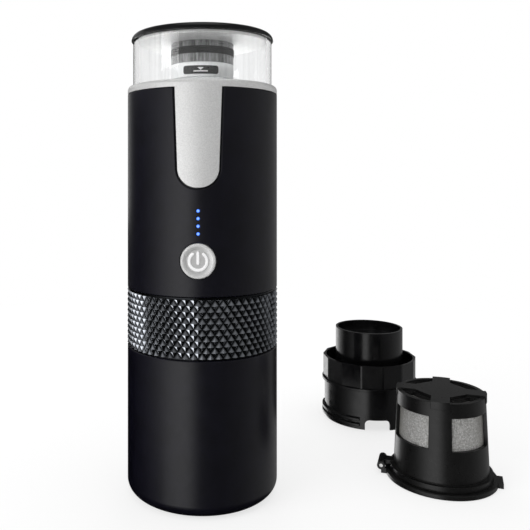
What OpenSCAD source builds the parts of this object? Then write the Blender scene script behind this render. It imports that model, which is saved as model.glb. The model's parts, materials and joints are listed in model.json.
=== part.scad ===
// Portable capsule coffee maker with its capsule holder and refillable filter.
// Millimetres. Origin at the centre of the cup's base, +Z up, front towards -Y.
// The holder and the filter stand upside down on the same surface, beside the machine.

/* [Body] */
// Outer diameter of the machine
body_d = 72; // [70:0.5:84]
// Height of the cup under the grip ring
cup_h = 69; // [60:1:90]
// Height of the knurled grip ring
grip_h = 27.5; // [24:0.5:34]
// Height of the black upper shell
shell_h = 92; // [91:0.5:110]
// Height of the silver collar
collar_h = 3.6; // [3:0.1:7]
// Height of the clear tank ring above the collar
ring_h = 21.9; // [17:0.1:32]
// Wall of the cup and of the upper shell
shell_wall = 2.2; // [2:0.1:2.6]
// Gap between the shell and what stands inside it
body_fit = 0.3; // [0.2:0.05:0.5]
// Round on the shell's edges at the seams
seam_round = 0.5; // [0.2:0.1:0.8]

/* [Cup] */
// Round at the foot of the cup
cup_corner_r = 5.5; // [4:0.5:10]
// Thickness of the cup's base
cup_base_t = 2.5; // [2:0.1:4]
// Air gap between the cup's two walls
liner_gap = 1.6; // [1:0.1:3]
// Thickness of the cup's liner
liner_wall = 1.4; // [1:0.1:2]
// Inner round at the foot of the liner
liner_corner_r = 5; // [3:0.5:8]
// Height of the liner's lip
lip_h = 2; // [1.5:0.5:4]
// Radius of the groove that leaves a foot ring on the base
foot_groove_r = 24; // [18:0.5:26]
// Width of that groove
foot_groove_w = 1.2; // [0.8:0.1:2]
// Depth of that groove
foot_groove_depth = 0.8; // [0.4:0.1:1.2]

/* [Grip ring] */
// Diamonds round the ring
knurl_count = 60; // [40:2:72]
// Diamonds up the ring
knurl_rows = 5; // [3:1:7]
// Depth from peak to valley
knurl_depth = 1.1; // [0.5:0.1:1.4]
// How far the peaks stand proud of the shell
knurl_proud = 0.2; // [0:0.05:0.5]
// Height of the plain rim above and below the diamonds
knurl_rim = 0.8; // [0.5:0.1:2]
// How far the plain rims lie below the valleys
knurl_inset = 0.2; // [0.1:0.05:0.4]
// Seam between the grip ring and the upper shell
grip_seam = 0.3; // [0.2:0.05:0.6]
// Gap between the ring and the dock inside it
grip_fit = 0.1; // [0.05:0.05:0.3]

/* [Brew dock] */
// Wall round the bore that the capsule holder goes into
dock_wall_t = 3.8; // [3:0.1:4.4]
// Height of the spigot that enters the cup
spigot_h = 7; // [5:0.5:10]
// Gap between the spigot and the cup
spigot_gap = 0.8; // [0.6:0.1:1.1]
// Thickness of the cup seal's cord
seal_d = 1.8; // [1.5:0.1:2.4]
// Thickness of the deck over the dock
deck_t = 3; // [2.5:0.5:5]
// Drop from the deck to the bayonet ledges
ledge_drop = 7; // [6:0.5:10]
// Thickness of the bayonet ledges
ledge_t = 2.4; // [1.5:0.1:4]
// Sweep of each bayonet ledge
ledge_arc = 60; // [30:5:80]
// Thickness of the dock gasket
gasket_t = 1.8; // [1:0.1:3]
// Gap between the dock gasket and the dock's bore
gasket_gap = 2.7; // [1:0.1:4]
// Width of the dock gasket
gasket_w = 4; // [2:0.5:6]
// Diameter of the inlet needle
needle_d = 2.6; // [2:0.1:3.2]
// Reach of the needle below the deck
needle_reach = 12; // [8:0.5:16]
// Diameter of the needle's hub
needle_hub_d = 6; // [5:0.5:8]

/* [Controls] */
// Diameter of the power button
button_d = 15.4; // [12:0.2:18]
// Height of the button's centre above the foot of the upper shell
button_up = 16; // [13:0.5:18]
// Travel of the button
button_travel = 1.2; // [0.8:0.1:1.6]
// How far the button's rim stands out of the shell
button_proud = 0.6; // [0.2:0.1:1.2]
// Depth of the dish in the button
button_dish = 0.5; // [0.2:0.1:0.9]
// Width of the button's raised rim
button_rim = 1.1; // [0.8:0.1:2]
// Width of the slope from the rim down to the dish
button_slope = 1.5; // [0.5:0.1:3]
// Gap round the button
button_gap = 0.3; // [0.2:0.05:0.5]
// How far the flange behind the button is wider than its hole
button_catch = 0.9; // [0.5:0.1:1.4]
// Charge lights in the row
led_count = 4; // [3:1:5]
// Distance between two charge lights
led_pitch = 3.33; // [2.6:0.01:4]
// Height of the lowest light above the foot of the upper shell
led_up = 27.8; // [27:0.2:32]
// Diameter of a light's window
led_d = 1.5; // [1:0.1:2]

/* [Collar] */
// Width of the tongue at the collar
tongue_top_w = 20.8; // [16:0.2:26]
// Width of the tongue near its lower end
tongue_low_w = 18.3; // [14:0.2:24]
// Distance from the top light up to the tongue's end
tongue_gap = 10.1; // [4:0.1:24]
// Round at the tongue's lower corners
tongue_corner_r = 8.6; // [4:0.1:9]
// Depth of the pocket for the tongue
pocket_depth = 1.2; // [0.8:0.1:1.4]
// Gap round the tongue
tongue_reveal = 0.9; // [0.5:0.1:1.4]
// Gap behind the tongue
tongue_back_gap = 0.15; // [0.1:0.05:0.3]
// Round on the collar's top edge
collar_round = 2; // [1:0.1:2]
// Gap between the collar and the tank
collar_fit = 0.2; // [0.1:0.05:0.3]

/* [Water tank] */
// Wall of the clear tank
tank_wall = 2.2; // [1.6:0.1:3]
// Thickness of the tank's floor
tank_floor_t = 2.5; // [2:0.1:4]
// Height of the room for the works under the tank
works_h = 45.5; // [45:0.5:54]
// Width of the ledge that carries the tank
tank_ledge_w = 3; // [2:0.1:5]
// Thickness of that ledge
tank_ledge_t = 2.2; // [1.5:0.1:3]
// Gap between the inlet strainer and the tank's wall
outlet_gap = 2.7; // [1:0.1:3.5]
// Diameter of the inlet strainer
strainer_d = 8; // [6:0.5:9]
// Height of the inlet strainer
strainer_h = 3.5; // [2.5:0.1:5]

/* [Lid] */
// Height of the lid's rounded edge
lid_edge_h = 3.2; // [1.6:0.1:4]
// Rise of the lid's crown above its edge
lid_crown = 0.6; // [0.3:0.1:1.5]
// How far the lid overhangs the tank ring
lid_overhang = 0.8; // [0.3:0.1:1.2]
// Diameter of the dish in the lid's top
lid_dish_d = 26; // [18:0.5:34]
// Depth of that dish
lid_dish_depth = 0.7; // [0.3:0.1:1]
// Thickness of the seal pad under the lid
pad_t = 1.4; // [1:0.1:2]
// Gap between the pad and the tank
pad_fit = 0.4; // [0.3:0.05:0.7]
// Diameter of the plug under the lid
plug_d = 30.2; // [24:0.2:36]
// Depth of the plug below the tank's rim
plug_h = 11.6; // [9:0.2:15]
// Wall of the plug
plug_wall = 2; // [1.5:0.1:3]
// Length of the clear level tube under the plug
level_h = 6.8; // [4:0.1:10]
// Wall of that tube
level_wall = 1.2; // [0.8:0.1:2]
// Height of the rubber band on the plug
band_h = 3.4; // [2:0.2:4]
// Thickness of that band
band_t = 0.8; // [0.5:0.1:1.2]

/* [Pump] */
// Diameter of the pump's body
pump_d = 23; // [22.5:0.5:26]
// Height of the pump's body
pump_h = 12; // [11:0.5:14]
// Thickness of the pump's cover
pump_cover_t = 2; // [1.5:0.1:3]
// Height of the posts that carry the pump
pump_post_h = 7.5; // [7:0.5:9]
// Teeth on each pump gear
gear_teeth = 10; // [10:1:12]
// Module of the pump gears
gear_module = 0.9; // [0.8:0.01:0.95]
// Pressure angle of the pump gears
gear_angle = 27; // [25:0.5:28]
// Play between the gears' teeth
gear_backlash = 0.16; // [0.1:0.01:0.25]
// Width of the pump gears
gear_w = 8.6; // [6:0.1:8.8]
// Diameter of the gears' shafts
gear_shaft_d = 3; // [2:0.1:3.4]
// Running clearance of the shafts and the gear tips
run_gap = 0.05; // [0.03:0.01:0.08]
// Diameter of the motor
motor_d = 20; // [16:0.5:21]
// Height of the motor
motor_h = 18; // [14:0.5:18.5]
// Outer diameter of the hoses
hose_d = 4.8; // [4:0.1:5]
// Bore of the hoses
hose_bore = 3.4; // [2.6:0.1:3.6]
// Bend radius of the suction hose
hose_bend = 8; // [7:0.5:9]
// Diameter of the screws
screw_d = 2; // [1.6:0.1:2.2]
// Diameter of the screws' heads
screw_head_d = 3.6; // [3:0.1:3.8]
// Height of the screws' heads
screw_head_h = 1.3; // [1:0.1:1.6]

/* [Power] */
// Diameter of a battery cell
cell_d = 14.2; // [12:0.2:17]
// Height of a battery cell
cell_h = 35; // [30:0.5:36]
// Gap between the battery tray and the shell
cell_gap = 0.5; // [0.3:0.1:1.5]
// Direction of the cells from the axis, in front of the right-hand side
cell_turn = 32; // [25:1:36]
// Gap round a cell in its tray
cell_fit = 0.2; // [0.1:0.05:0.3]
// Wall of the battery tray
tray_wall = 0.9; // [0.7:0.05:1]
// Height of the battery tray
tray_h = 7; // [5:0.5:10]
// Width of the control board
board_w = 32; // [28:0.5:32]
// Height of the control board
board_h = 37; // [36:0.5:40]
// Thickness of the circuit boards
board_t = 1.6; // [1:0.1:1.8]
// Distance from the board's front to the shell's inner face
board_setback = 7.8; // [7.6:0.1:8]
// Width of the charge socket
socket_w = 9; // [8.6:0.1:10]
// Height of the charge socket
socket_h = 3.2; // [3:0.1:3.6]
// Length of the charge socket
socket_l = 7.4; // [6:0.1:9]
// Height of the socket's board above the deck
socket_up = 6; // [5:0.5:9]
// Width of the port cover
port_w = 14; // [13:0.2:17]
// Height of the port cover
port_h = 8; // [7:0.2:11]
// Thickness of the port cover
port_t = 1; // [0.7:0.05:1.05]
// Gap round the port cover
port_gap = 0.3; // [0.2:0.05:0.4]

/* [Capsule holder] */
// Place of the holder to the right of the machine
holder_x = 99; // [80:1:120]
// Place of the holder behind the machine's axis
holder_y = 100; // [70:1:120]
// Gap between the holder's lugs and the dock's bore
lug_gap = 0.6; // [0.4:0.05:1]
// Height of the barrel
barrel_h = 24; // [20:0.5:28]
// Wall of the holder's pieces
holder_wall = 1.8; // [1.4:0.1:2]
// Wall of the outlet cup on the holder's cap
outlet_wall = 1.3; // [1:0.1:2]
// Width of the lip and the lugs round the barrel
lug_w = 1.5; // [1:0.1:1.6]
// Thickness of the lip and the lugs
lug_t = 1.4; // [1:0.1:2]
// Distance between the two lugs of a pair
lug_pitch = 3.2; // [2.6:0.1:4]
// Width of the notch in the barrel's edge
notch_w = 14.5; // [10:0.5:18]
// Height of the notch
notch_h = 5.8; // [4:0.2:8]
// Round at the notch's corners
notch_r = 2.6; // [1:0.1:3]
// How far the cap's grip panels stand out past the barrel
cap_over = 0.9; // [0.4:0.1:1.4]
// Height of the cap's grip wall
cap_h = 13.4; // [10:0.2:17]
// Grip panels round the cap
cap_panels = 14; // [8:1:16]
// Direction of the first edge between those panels
cap_phase = 18.9; // [0:0.1:45]
// Depth of the panels under the cap's round posts
panel_depth = 0.6; // [0.2:0.1:0.8]
// How far the outlet cylinder lies inside the barrel's neck
outlet_inset = 2.55; // [1.5:0.05:4]
// Height of the outlet cylinder above the grip wall
outlet_h = 17.6; // [12:0.2:22]
// Depth of the outlet's floor below its rim
outlet_floor = 6; // [5:0.2:8]
// Thickness of the cap's floors
cap_floor_t = 2.2; // [1.5:0.1:3]
// Depth of the spigot that turns in the barrel
cap_spigot_h = 4; // [2:0.5:6]
// Diameter of the exit needle's collar
exit_d = 6; // [5:0.2:8]
// Bore of the exit needle
exit_bore = 3.2; // [2:0.1:3.6]

/* [Refillable filter] */
// Place of the filter to the right of the machine
filter_x = 118; // [110:1:140]
// Place of the filter in front of or behind the machine's axis
filter_y = 14; // [-12:1:30]
// Direction in which the filter's hinge points
hinge_turn = 163; // [150:1:200]
// Diameter of the filter's lid
flange_d = 53; // [51:0.5:55]
// Thickness of the filter's lid
flange_t = 2.4; // [2:0.1:3]
// Diameter of the basket's rim
rim_d = 48.6; // [47.6:0.2:50]
// Height of the basket's rim
rim_h = 2.8; // [2:0.1:4]
// Diameter of the basket at its rim
basket_d = 45.3; // [44:0.1:46.4]
// Diameter of the basket at its end
basket_end_d = 41.6; // [40:0.1:43]
// Height of the filter without its spider
filter_h = 42; // [38:0.5:48]
// Wall of the basket
basket_wall = 1.6; // [1.2:0.1:2]
// Height of the windows' lower edge
window_z = 20.5; // [16:0.5:24]
// Height of the windows
window_h = 15.5; // [10:0.5:16]
// Sweep of each window
window_arc = 62; // [45:1:66]
// Thickness of the filter mesh
mesh_t = 0.4; // [0.3:0.05:0.6]
// Width of the spider's arms
arm_w = 8.6; // [6:0.2:10]
// Height of the spider's arms
arm_h = 1.4; // [0.8:0.1:2]
// Diameter of the hinge pin
pin_d = 1.8; // [1.4:0.1:2]
// Diameter of the hinge knuckles
knuckle_d = 4; // [3.6:0.1:4.4]
// Length of the hinge
hinge_l = 12; // [9:0.5:15]
// Gap between the filter's moving pieces
filter_gap = 0.3; // [0.25:0.05:0.5]

/* [Hidden] */
$fn = 96;
// Overlap that lets cuts run through a face
cut = 0.5;

// Levels of the machine from the table up
body_r = body_d / 2;
shell_ir = body_r - shell_wall;
z_grip = cup_h;
z_shell = z_grip + grip_h;
z_deck = z_shell + deck_t;
z_collar = z_shell + shell_h;
z_ring = z_collar + collar_h;
z_lid = z_ring + ring_h;
z_tank = z_shell + works_h;
z_spigot = z_grip - spigot_h;

// Radii of the machine's inner pieces
inner_r = shell_ir - body_fit;
tank_r = inner_r - collar_fit / 2;
tank_ir = tank_r - tank_wall;
outlet_x = tank_ir - outlet_gap - strainer_d / 2;
spigot_r = shell_ir - spigot_gap;
dock_r = spigot_r - dock_wall_t;
gasket_r = dock_r - gasket_gap;
liner_r = shell_ir - liner_gap;
z_lip = z_spigot - body_fit;

// The holder's bayonet sizes follow the dock's bore, and the dock's ledges follow them
lug_r = dock_r - lug_gap;
barrel_r = lug_r - lug_w;
ledge_r = barrel_r + body_fit;

// Heights on the front of the machine
button_z = z_shell + button_up;
led_z = z_shell + led_up;
button_r = button_d / 2;
button_flange_r = button_r + button_gap + button_catch;
// Flat flange that just clears the round wall behind which it sits
button_flange_y = sqrt(shell_ir * shell_ir - button_flange_r * button_flange_r) - body_fit;
button_flange_t = 1;
board_y = shell_ir - board_setback;
switch_play = 0.1;
switch_reach = 3.4;
stem_y = board_y + switch_reach + switch_play + button_travel;
led_chip_t = 0.9;
guide_bar_t = 1.2;
guide_gap = 0.4;
led_fit = 0.1;

// Gear pump
pitch_r = gear_teeth * gear_module / 2;
base_r = pitch_r * cos(gear_angle);
// Short tips, because gears with few teeth would otherwise come to points
tip_r = pitch_r + 0.89 * gear_module;
root_r = pitch_r - 1.22 * gear_module;
tooth_w = PI * gear_module / 2 - gear_backlash;
gear_shaft_r = gear_shaft_d / 2;
z_cover = z_deck + pump_post_h;
z_pump = z_cover + pump_cover_t;
z_motor = z_pump + pump_h;
gear_end_gap = 0.2;
cavity_h = gear_w + 2 * gear_end_gap;
shaft_foot = 1;
motor_grip = 6.5;
// The ports lie at half the height of the gears
port_z = z_pump + gear_end_gap + gear_w / 2;
port_r = 1.1;
barb_l = 5;
hose_r = hose_d / 2;
hose_play = 0.03;
barb_r = hose_bore / 2 - hose_play;
hub_rise = 1;
hub_port_z = z_deck + hose_r + hub_rise;
pump_screw_x = 0.688 * pump_d / 2;
pump_screw_y = 0.528 * pump_d / 2;
ear_x = 16;
ear_y = 9;
ear_r = 3.4;
post_r = 2.8;
screw_bite = 5;
hose_end_gap = 0.5;

// Power pieces
cell_ring_r = inner_r - cell_gap - tray_wall - cell_fit - cell_d / 2;
cell_x = cell_ring_r * cos(cell_turn);
cell_y = cell_ring_r * sin(cell_turn);
tray_floor = 0.8;
board_slot = 0.1;
board_post_w = 3;
board_post_d = 1;
board_post_h = 10;
z_socket = z_deck + socket_up + board_t;
socket_mid = z_socket + socket_h / 2;
charge_board_l = 11;
// How far the socket reaches into the shell's slot, and the cover's plug into the socket
socket_proud = 0.5;
socket_wall = 0.35;
plug_bite = 0.7;
socket_y = shell_ir + socket_proud - socket_l;
port_floor_r = body_r - port_t - port_gap;
// Room beside the cover's hinged edge, so that it can swing out
port_hinge_room = 1.2;

// Holder and filter
barrel_ir = barrel_r - holder_wall;
neck_w = 2.5;
neck_r = barrel_ir - neck_w;
cap_r = barrel_r + cap_over;
z_cap = barrel_h;
z_outlet = z_cap + cap_h + outlet_h;
outlet_r = neck_r - outlet_inset;
cap_ir = cap_r - holder_wall;
exit_shoulder = 1.5;
rim_r = rim_d / 2;
rim_top = flange_t + rim_h;
hinge_r = flange_d / 2 + pin_d;
hinge_rise = 1.2;
hinge_z = flange_t + hinge_rise;
// Thickness of the basket's end plate
plate_t = 1.8;
flange_r = flange_d / 2;

// Shared shapes

// Tube along +Z
module tube(r_out, r_in, h) {
    difference() {
        cylinder(r = r_out, h = h);
        translate([0, 0, -cut]) cylinder(r = r_in, h = h + 2 * cut);
    }
}

// Turns +Z towards the front, so that a drawing in X and Y stands in X and Z
module to_front() {
    rotate([90, 0, 0]) children();
}

// Turns +Z to the left
module to_left() {
    rotate([0, -90, 0]) children();
}

// Turns +Z to the right
module to_right() {
    rotate([0, 90, 0]) children();
}

// Half of a cup's outline: straight side, round foot
module foot_outline(r, h, corner) {
    square([r - corner, h]);
    translate([0, corner]) square([r, h - corner]);
    translate([r - corner, corner]) circle(corner);
}

// Outline of a wall whose outer corners are rounded
module wall_outline(r_out, r_in, z0, z1, round_r) {
    translate([r_in, z0 + round_r]) square([r_out - r_in, z1 - z0 - 2 * round_r]);
    intersection() {
        translate([r_in, z0]) square([r_out - r_in, z1 - z0]);
        union() {
            translate([r_in, z0]) square([r_out - round_r - r_in, z1 - z0]);
            for (z = [z0 + round_r, z1 - round_r]) translate([r_out - round_r, z]) circle(round_r);
        }
    }
}

// Part of a ring that sweeps from one angle to another
module ring_sector(r_out, r_in, h, from, sweep) {
    rotate([0, 0, from])
        rotate_extrude(angle = sweep)
            translate([r_in, 0]) square([r_out - r_in, h]);
}

// Rectangle with round corners
module round_rect(w, h, r) {
    for (x = [-1, 1], y = [-1, 1]) translate([x * (w / 2 - r), y * (h / 2 - r)]) circle(r);
    square([w - 2 * r, h], center = true);
    square([w, h - 2 * r], center = true);
}

// Cup

module cup_shell() {
    color([0.07, 0.07, 0.08])
    rotate_extrude() difference() {
        foot_outline(body_r, cup_h, cup_corner_r);
        translate([0, cup_base_t]) foot_outline(shell_ir, cup_h, cup_corner_r - shell_wall);
        translate([foot_groove_r, -cut]) square([foot_groove_w, foot_groove_depth + cut]);
        translate([body_r - seam_round, cup_h - seam_round]) difference() {
            square(seam_round + cut);
            circle(seam_round);
        }
    }
}

module cup_liner() {
    liner_z = cup_base_t + liner_gap;
    liner_ir = liner_r - liner_wall;
    lip_r = shell_ir - body_fit / 2;
    color([0.16, 0.16, 0.17])
    rotate_extrude() difference() {
        union() {
            translate([0, liner_z]) foot_outline(liner_r, z_lip - liner_z, liner_corner_r + liner_wall);
            translate([liner_ir, z_lip - lip_h]) square([lip_r - liner_ir, lip_h]);
        }
        translate([0, liner_z + liner_wall]) foot_outline(liner_ir, cup_h, liner_corner_r);
    }
}

// Brew dock

module dock_wall() {
    seal_room = 0.2;
    groove_r = inner_r - seal_d - seal_room / 2;
    groove_h = seal_d + 2 * seal_room;
    difference() {
        rotate_extrude() polygon([
            [dock_r, z_spigot], [spigot_r, z_spigot], [spigot_r, z_grip], [inner_r, z_grip],
            [inner_r, z_deck], [0, z_deck], [0, z_shell], [dock_r, z_shell]
        ]);
        translate([0, 0, z_grip - spigot_h / 2 - groove_h / 2]) tube(body_r, groove_r, groove_h);
        translate([0, 0, z_shell - cut]) cylinder(d = needle_hub_d + 2 * run_gap, h = deck_t + 2 * cut);
    }
}

module dock_ledges() {
    for (turn = [0, 180])
        translate([0, 0, z_shell - ledge_drop - ledge_t])
            ring_sector(dock_r + cut, ledge_r, ledge_t, turn - ledge_arc / 2, ledge_arc);
}

// Slotted posts that hold the control board's lower corners
module board_posts() {
    slot_t = board_t + 2 * board_slot;
    post_d = slot_t + 2 * board_post_d;
    for (side = [-1, 1]) difference() {
        translate([side * board_w / 2 - board_post_w / 2, -board_y + board_t / 2 - post_d / 2, z_deck])
            cube([board_post_w, post_d, board_post_h]);
        translate([-board_w / 2 - board_slot, -board_y + board_t / 2 - slot_t / 2, z_deck])
            cube([board_w + 2 * board_slot, slot_t, board_post_h + cut]);
    }
}

module brew_dock() {
    color([0.1, 0.1, 0.11]) {
        dock_wall();
        dock_ledges();
        board_posts();
        for (side = [-1, 1]) {
            translate([side * ear_x, ear_y, z_deck]) difference() {
                translate([0, 0, -cut]) cylinder(r = post_r, h = pump_post_h + cut);
                cylinder(d = screw_d, h = pump_post_h + cut);
            }
            translate([side * socket_w / 2, socket_y - post_r, z_deck - cut])
                cylinder(d = post_r, h = socket_up + cut);
        }
    }
}

module cup_seal() {
    color([0.75, 0.3, 0.2])
    translate([0, 0, z_grip - spigot_h / 2])
        rotate_extrude() translate([inner_r - seal_d / 2, 0]) circle(d = seal_d);
}

module dock_gasket() {
    color([0.55, 0.55, 0.55])
    translate([0, 0, z_shell - gasket_t]) tube(gasket_r, gasket_r - gasket_w, gasket_t);
}

// Hollow needle: flange under the deck, hub through it, side barb above it
module inlet_needle() {
    flange_h = 1.5;
    flange_w = 1.5;
    tip_h = 2.5;
    tip_d = 0.4;
    z_tip = z_shell - needle_reach;
    z_top = hub_port_z + hose_r;
    color([0.75, 0.76, 0.78])
    difference() {
        union() {
            translate([0, 0, z_shell - flange_h]) cylinder(d = needle_hub_d + 2 * flange_w, h = flange_h);
            translate([0, 0, z_shell - flange_h])
                cylinder(d = needle_hub_d, h = z_top - z_shell + flange_h);
            translate([0, 0, z_tip + tip_h]) cylinder(d = needle_d, h = needle_reach - tip_h);
            translate([0, 0, z_tip]) cylinder(d1 = tip_d, d2 = needle_d, h = tip_h);
            translate([0, 0, hub_port_z]) to_left() cylinder(r = barb_r, h = needle_hub_d / 2 + barb_l);
        }
        translate([0, 0, hub_port_z]) to_left() cylinder(r = barb_r / 2, h = needle_hub_d + barb_l);
        translate([0, 0, z_tip + tip_h]) cylinder(d = needle_d / 3, h = hub_port_z - z_tip - tip_h);
    }
}

// Knurled grip ring: one band of pyramids between two plain rims, round a straight bore.
// Peaks and corners of the diamonds lie on one half-step grid.

knurl_top = z_shell - grip_seam;
knurl_band = knurl_top - z_grip - 2 * knurl_rim;
peak_r = body_r + knurl_proud;
valley_r = peak_r - knurl_depth;
rim_ring_r = valley_r - knurl_inset;
knurl_cols = 2 * knurl_count;
knurl_steps = 2 * knurl_rows;
// The bore is a fine polygon that just clears the dock
grip_bore_r = (inner_r + grip_fit) / cos(180 / knurl_cols);

// Rings of the band's closed profile, from the bore's foot round to its top
function plain_ring(r, z) = [
    for (col = [0:knurl_cols - 1])
        let (a = 360 * col / knurl_cols)
        [r * cos(a), r * sin(a), z]
];
// Grid points with an odd sum are peaks, the others are corners of the diamonds
function knurl_ring(row) = [
    for (col = [0:knurl_cols - 1])
        let (r = (col + row) % 2 == 1 ? peak_r : valley_r, a = 360 * col / knurl_cols)
        [r * cos(a), r * sin(a), z_grip + knurl_rim + knurl_band * row / knurl_steps]
];
grip_rings = concat(
    [plain_ring(grip_bore_r, z_grip)],
    [for (z = [z_grip, z_grip + knurl_rim]) plain_ring(rim_ring_r, z)],
    [for (row = [0:knurl_steps]) knurl_ring(row)],
    [for (z = [knurl_top - knurl_rim, knurl_top]) plain_ring(rim_ring_r, z)],
    [plain_ring(grip_bore_r, knurl_top)]
);

function ring_index(col, ring) = (ring % len(grip_rings)) * knurl_cols + col % knurl_cols;

// The two triangles of a cell share the edge that joins two corners of diamonds
function ring_cell(col, ring) =
    let (
        a = ring_index(col, ring), b = ring_index(col + 1, ring),
        c = ring_index(col + 1, ring + 1), d = ring_index(col, ring + 1)
    )
    (col + ring) % 2 == 1 ? [[a, c, b], [a, d, c]] : [[a, d, b], [b, d, c]];

module grip_ring() {
    color([0.05, 0.05, 0.06])
    polyhedron(
        points = [for (ring = grip_rings) each ring],
        faces = [for (ring = [0:len(grip_rings) - 1], col = [0:knurl_cols - 1]) each ring_cell(col, ring)]
    );
}

// Upper shell and silver collar

// Outline of the tongue, seen from the front; grow widens it for the pocket
module tongue_outline(grow, z_top) {
    corner = min(tongue_corner_r, tongue_low_w / 2);
    low = led_z + (led_count - 1) * led_pitch + tongue_gap;
    mid = low + corner;
    half = tongue_low_w / 2 + grow;
    top_half = tongue_top_w / 2 + grow;
    r = corner + grow;
    polygon([[-top_half, z_top], [top_half, z_top], [half, mid], [-half, mid]]);
    for (side = [-1, 1]) translate([side * (half - r), mid]) circle(r);
    translate([-(half - r), low - grow]) square([2 * (half - r), r]);
}

module shell_outline() {
    difference() {
        wall_outline(body_r, shell_ir, z_shell, z_collar, seam_round);
        translate([0, z_collar]) square([body_r + cut, cut]);
    }
    translate([shell_ir - tank_ledge_w, z_tank - tank_ledge_t]) square([tank_ledge_w + cut, tank_ledge_t]);
}

module upper_shell() {
    pocket_r = body_r - pocket_depth;
    color([0.07, 0.07, 0.08])
    difference() {
        rotate_extrude() shell_outline();
        difference() {
            to_front() linear_extrude(body_r + cut) tongue_outline(tongue_reveal, z_collar + cut);
            cylinder(r = pocket_r, h = z_lid);
        }
        translate([0, 0, button_z]) to_front() cylinder(r = button_r + button_gap, h = body_r + cut);
        for (i = [0:led_count - 1])
            translate([0, 0, led_z + i * led_pitch]) to_front()
                cylinder(d = led_d + led_fit, h = body_r + cut);
        port_cuts();
    }
}

// Recess for the port cover and the slot in front of the charge socket
module port_cuts() {
    slot_w = socket_w + 2 * port_gap;
    slot_h = socket_h + 2 * port_gap;
    difference() {
        translate([-port_w / 2 - port_gap, 0, socket_mid - port_h / 2 - port_gap])
            cube([port_w + 2 * port_gap + port_hinge_room, body_r + cut, port_h + 2 * port_gap]);
        cylinder(r = port_floor_r, h = z_collar);
    }
    translate([0, body_r + cut, socket_mid]) to_front()
        linear_extrude(body_r - socket_y) round_rect(slot_w, slot_h, socket_h / 2);
}

module silver_collar() {
    back_r = body_r - pocket_depth + tongue_back_gap;
    color([0.78, 0.78, 0.79]) {
        rotate_extrude() difference() {
            wall_outline(body_r, tank_r + collar_fit, z_collar - collar_round, z_ring, collar_round);
            square([body_r + cut, z_collar]);
        }
        intersection() {
            to_front() linear_extrude(body_r + cut) tongue_outline(0, z_collar + collar_h / 2);
            tube(body_r, back_r, z_collar + collar_h / 2);
        }
    }
}

// Water tank

module water_tank() {
    color([0.85, 0.9, 0.93, 0.4])
    difference() {
        union() {
            translate([0, 0, z_tank]) cylinder(r = tank_r, h = z_lid - z_tank);
            translate([outlet_x, 0, z_tank - barb_l]) cylinder(r = barb_r, h = barb_l + cut);
        }
        translate([0, 0, z_tank + tank_floor_t]) cylinder(r = tank_ir, h = z_lid - z_tank);
        translate([outlet_x, 0, z_tank - barb_l - cut])
            cylinder(r = port_r, h = barb_l + tank_floor_t + 2 * cut);
    }
}

// Slotted cap over the tank's outlet
module tank_strainer() {
    slot_w = 0.8;
    slots = 8;
    top_t = 1;
    wall_t = 1;
    color([0.2, 0.2, 0.22])
    translate([outlet_x, 0, z_tank + tank_floor_t]) difference() {
        cylinder(d = strainer_d, h = strainer_h);
        translate([0, 0, -cut]) cylinder(d = strainer_d - 2 * wall_t, h = strainer_h - top_t + cut);
        for (i = [0:slots / 2 - 1])
            rotate([0, 0, 360 * i / slots]) translate([-strainer_d, -slot_w / 2, top_t / 2])
                cube([2 * strainer_d, slot_w, strainer_h - 1.5 * top_t]);
    }
}

// Gear pump

function involute(angle) = tan(angle) * 180 / PI - angle;
// Half the angle that a tooth takes up at radius r
function tooth_half(r) =
    let (at_r = acos(min(1, base_r / max(r, base_r))))
    tooth_w / (2 * pitch_r) * 180 / PI + involute(gear_angle) - involute(at_r);
function polar(r, a) = [r * cos(a), r * sin(a)];

// Gear outline whose first tooth points along +X
module gear_outline() {
    flank_steps = 4;
    radii = concat([root_r], [for (i = [0:flank_steps]) base_r + (tip_r - base_r) * i / flank_steps]);
    last = len(radii) - 1;
    polygon([
        for (tooth = [0:gear_teeth - 1]) each concat(
            [for (i = [0:last]) polar(radii[i], 360 * tooth / gear_teeth - tooth_half(radii[i]))],
            [for (i = [last:-1:0]) polar(radii[i], 360 * tooth / gear_teeth + tooth_half(radii[i]))]
        )
    ]);
}

// Gear cut from one piece with its shaft, which runs from the cover up to shaft_top
module gear_on_shaft(first_tooth, shaft_top) {
    translate([0, 0, z_pump + gear_end_gap]) rotate([0, 0, first_tooth])
        linear_extrude(gear_w) gear_outline();
    translate([0, 0, z_pump - shaft_foot]) cylinder(r = gear_shaft_r, h = shaft_top - z_pump + shaft_foot);
}

module drive_gear() {
    color([0.7, 0.7, 0.72])
    translate([0, pitch_r, 0]) gear_on_shaft(-90, z_motor + motor_grip - gear_end_gap);
}

module driven_gear() {
    color([0.7, 0.7, 0.72])
    translate([0, -pitch_r, 0]) gear_on_shaft(90 + 180 / gear_teeth, z_motor - shaft_foot);
}

module at_pump_screws() {
    for (x = [-1, 1], y = [-1, 1]) translate([x * pump_screw_x, y * pump_screw_y, 0]) children();
}

module pump_body() {
    pocket_r = tip_r + run_gap;
    color([0.62, 0.63, 0.65])
    difference() {
        union() {
            translate([0, 0, z_pump]) cylinder(d = pump_d, h = pump_h);
            for (side = [0, 180]) rotate([0, 0, side])
                translate([0, 0, port_z]) to_right() cylinder(r = barb_r, h = pump_d / 2 + barb_l);
        }
        for (side = [-1, 1]) translate([0, side * pitch_r, z_pump - cut]) {
            cylinder(r = pocket_r, h = cavity_h + cut);
            cylinder(r = gear_shaft_r + run_gap, h = pump_h - shaft_foot / 2 + cut);
        }
        translate([0, pitch_r, z_pump]) cylinder(r = gear_shaft_r + run_gap, h = pump_h + cut);
        translate([-pump_d, 0, port_z]) to_right() cylinder(r = port_r, h = 2 * pump_d);
        at_pump_screws() translate([0, 0, z_pump - cut]) cylinder(d = screw_d, h = screw_bite + 2 * cut);
    }
}

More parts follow.
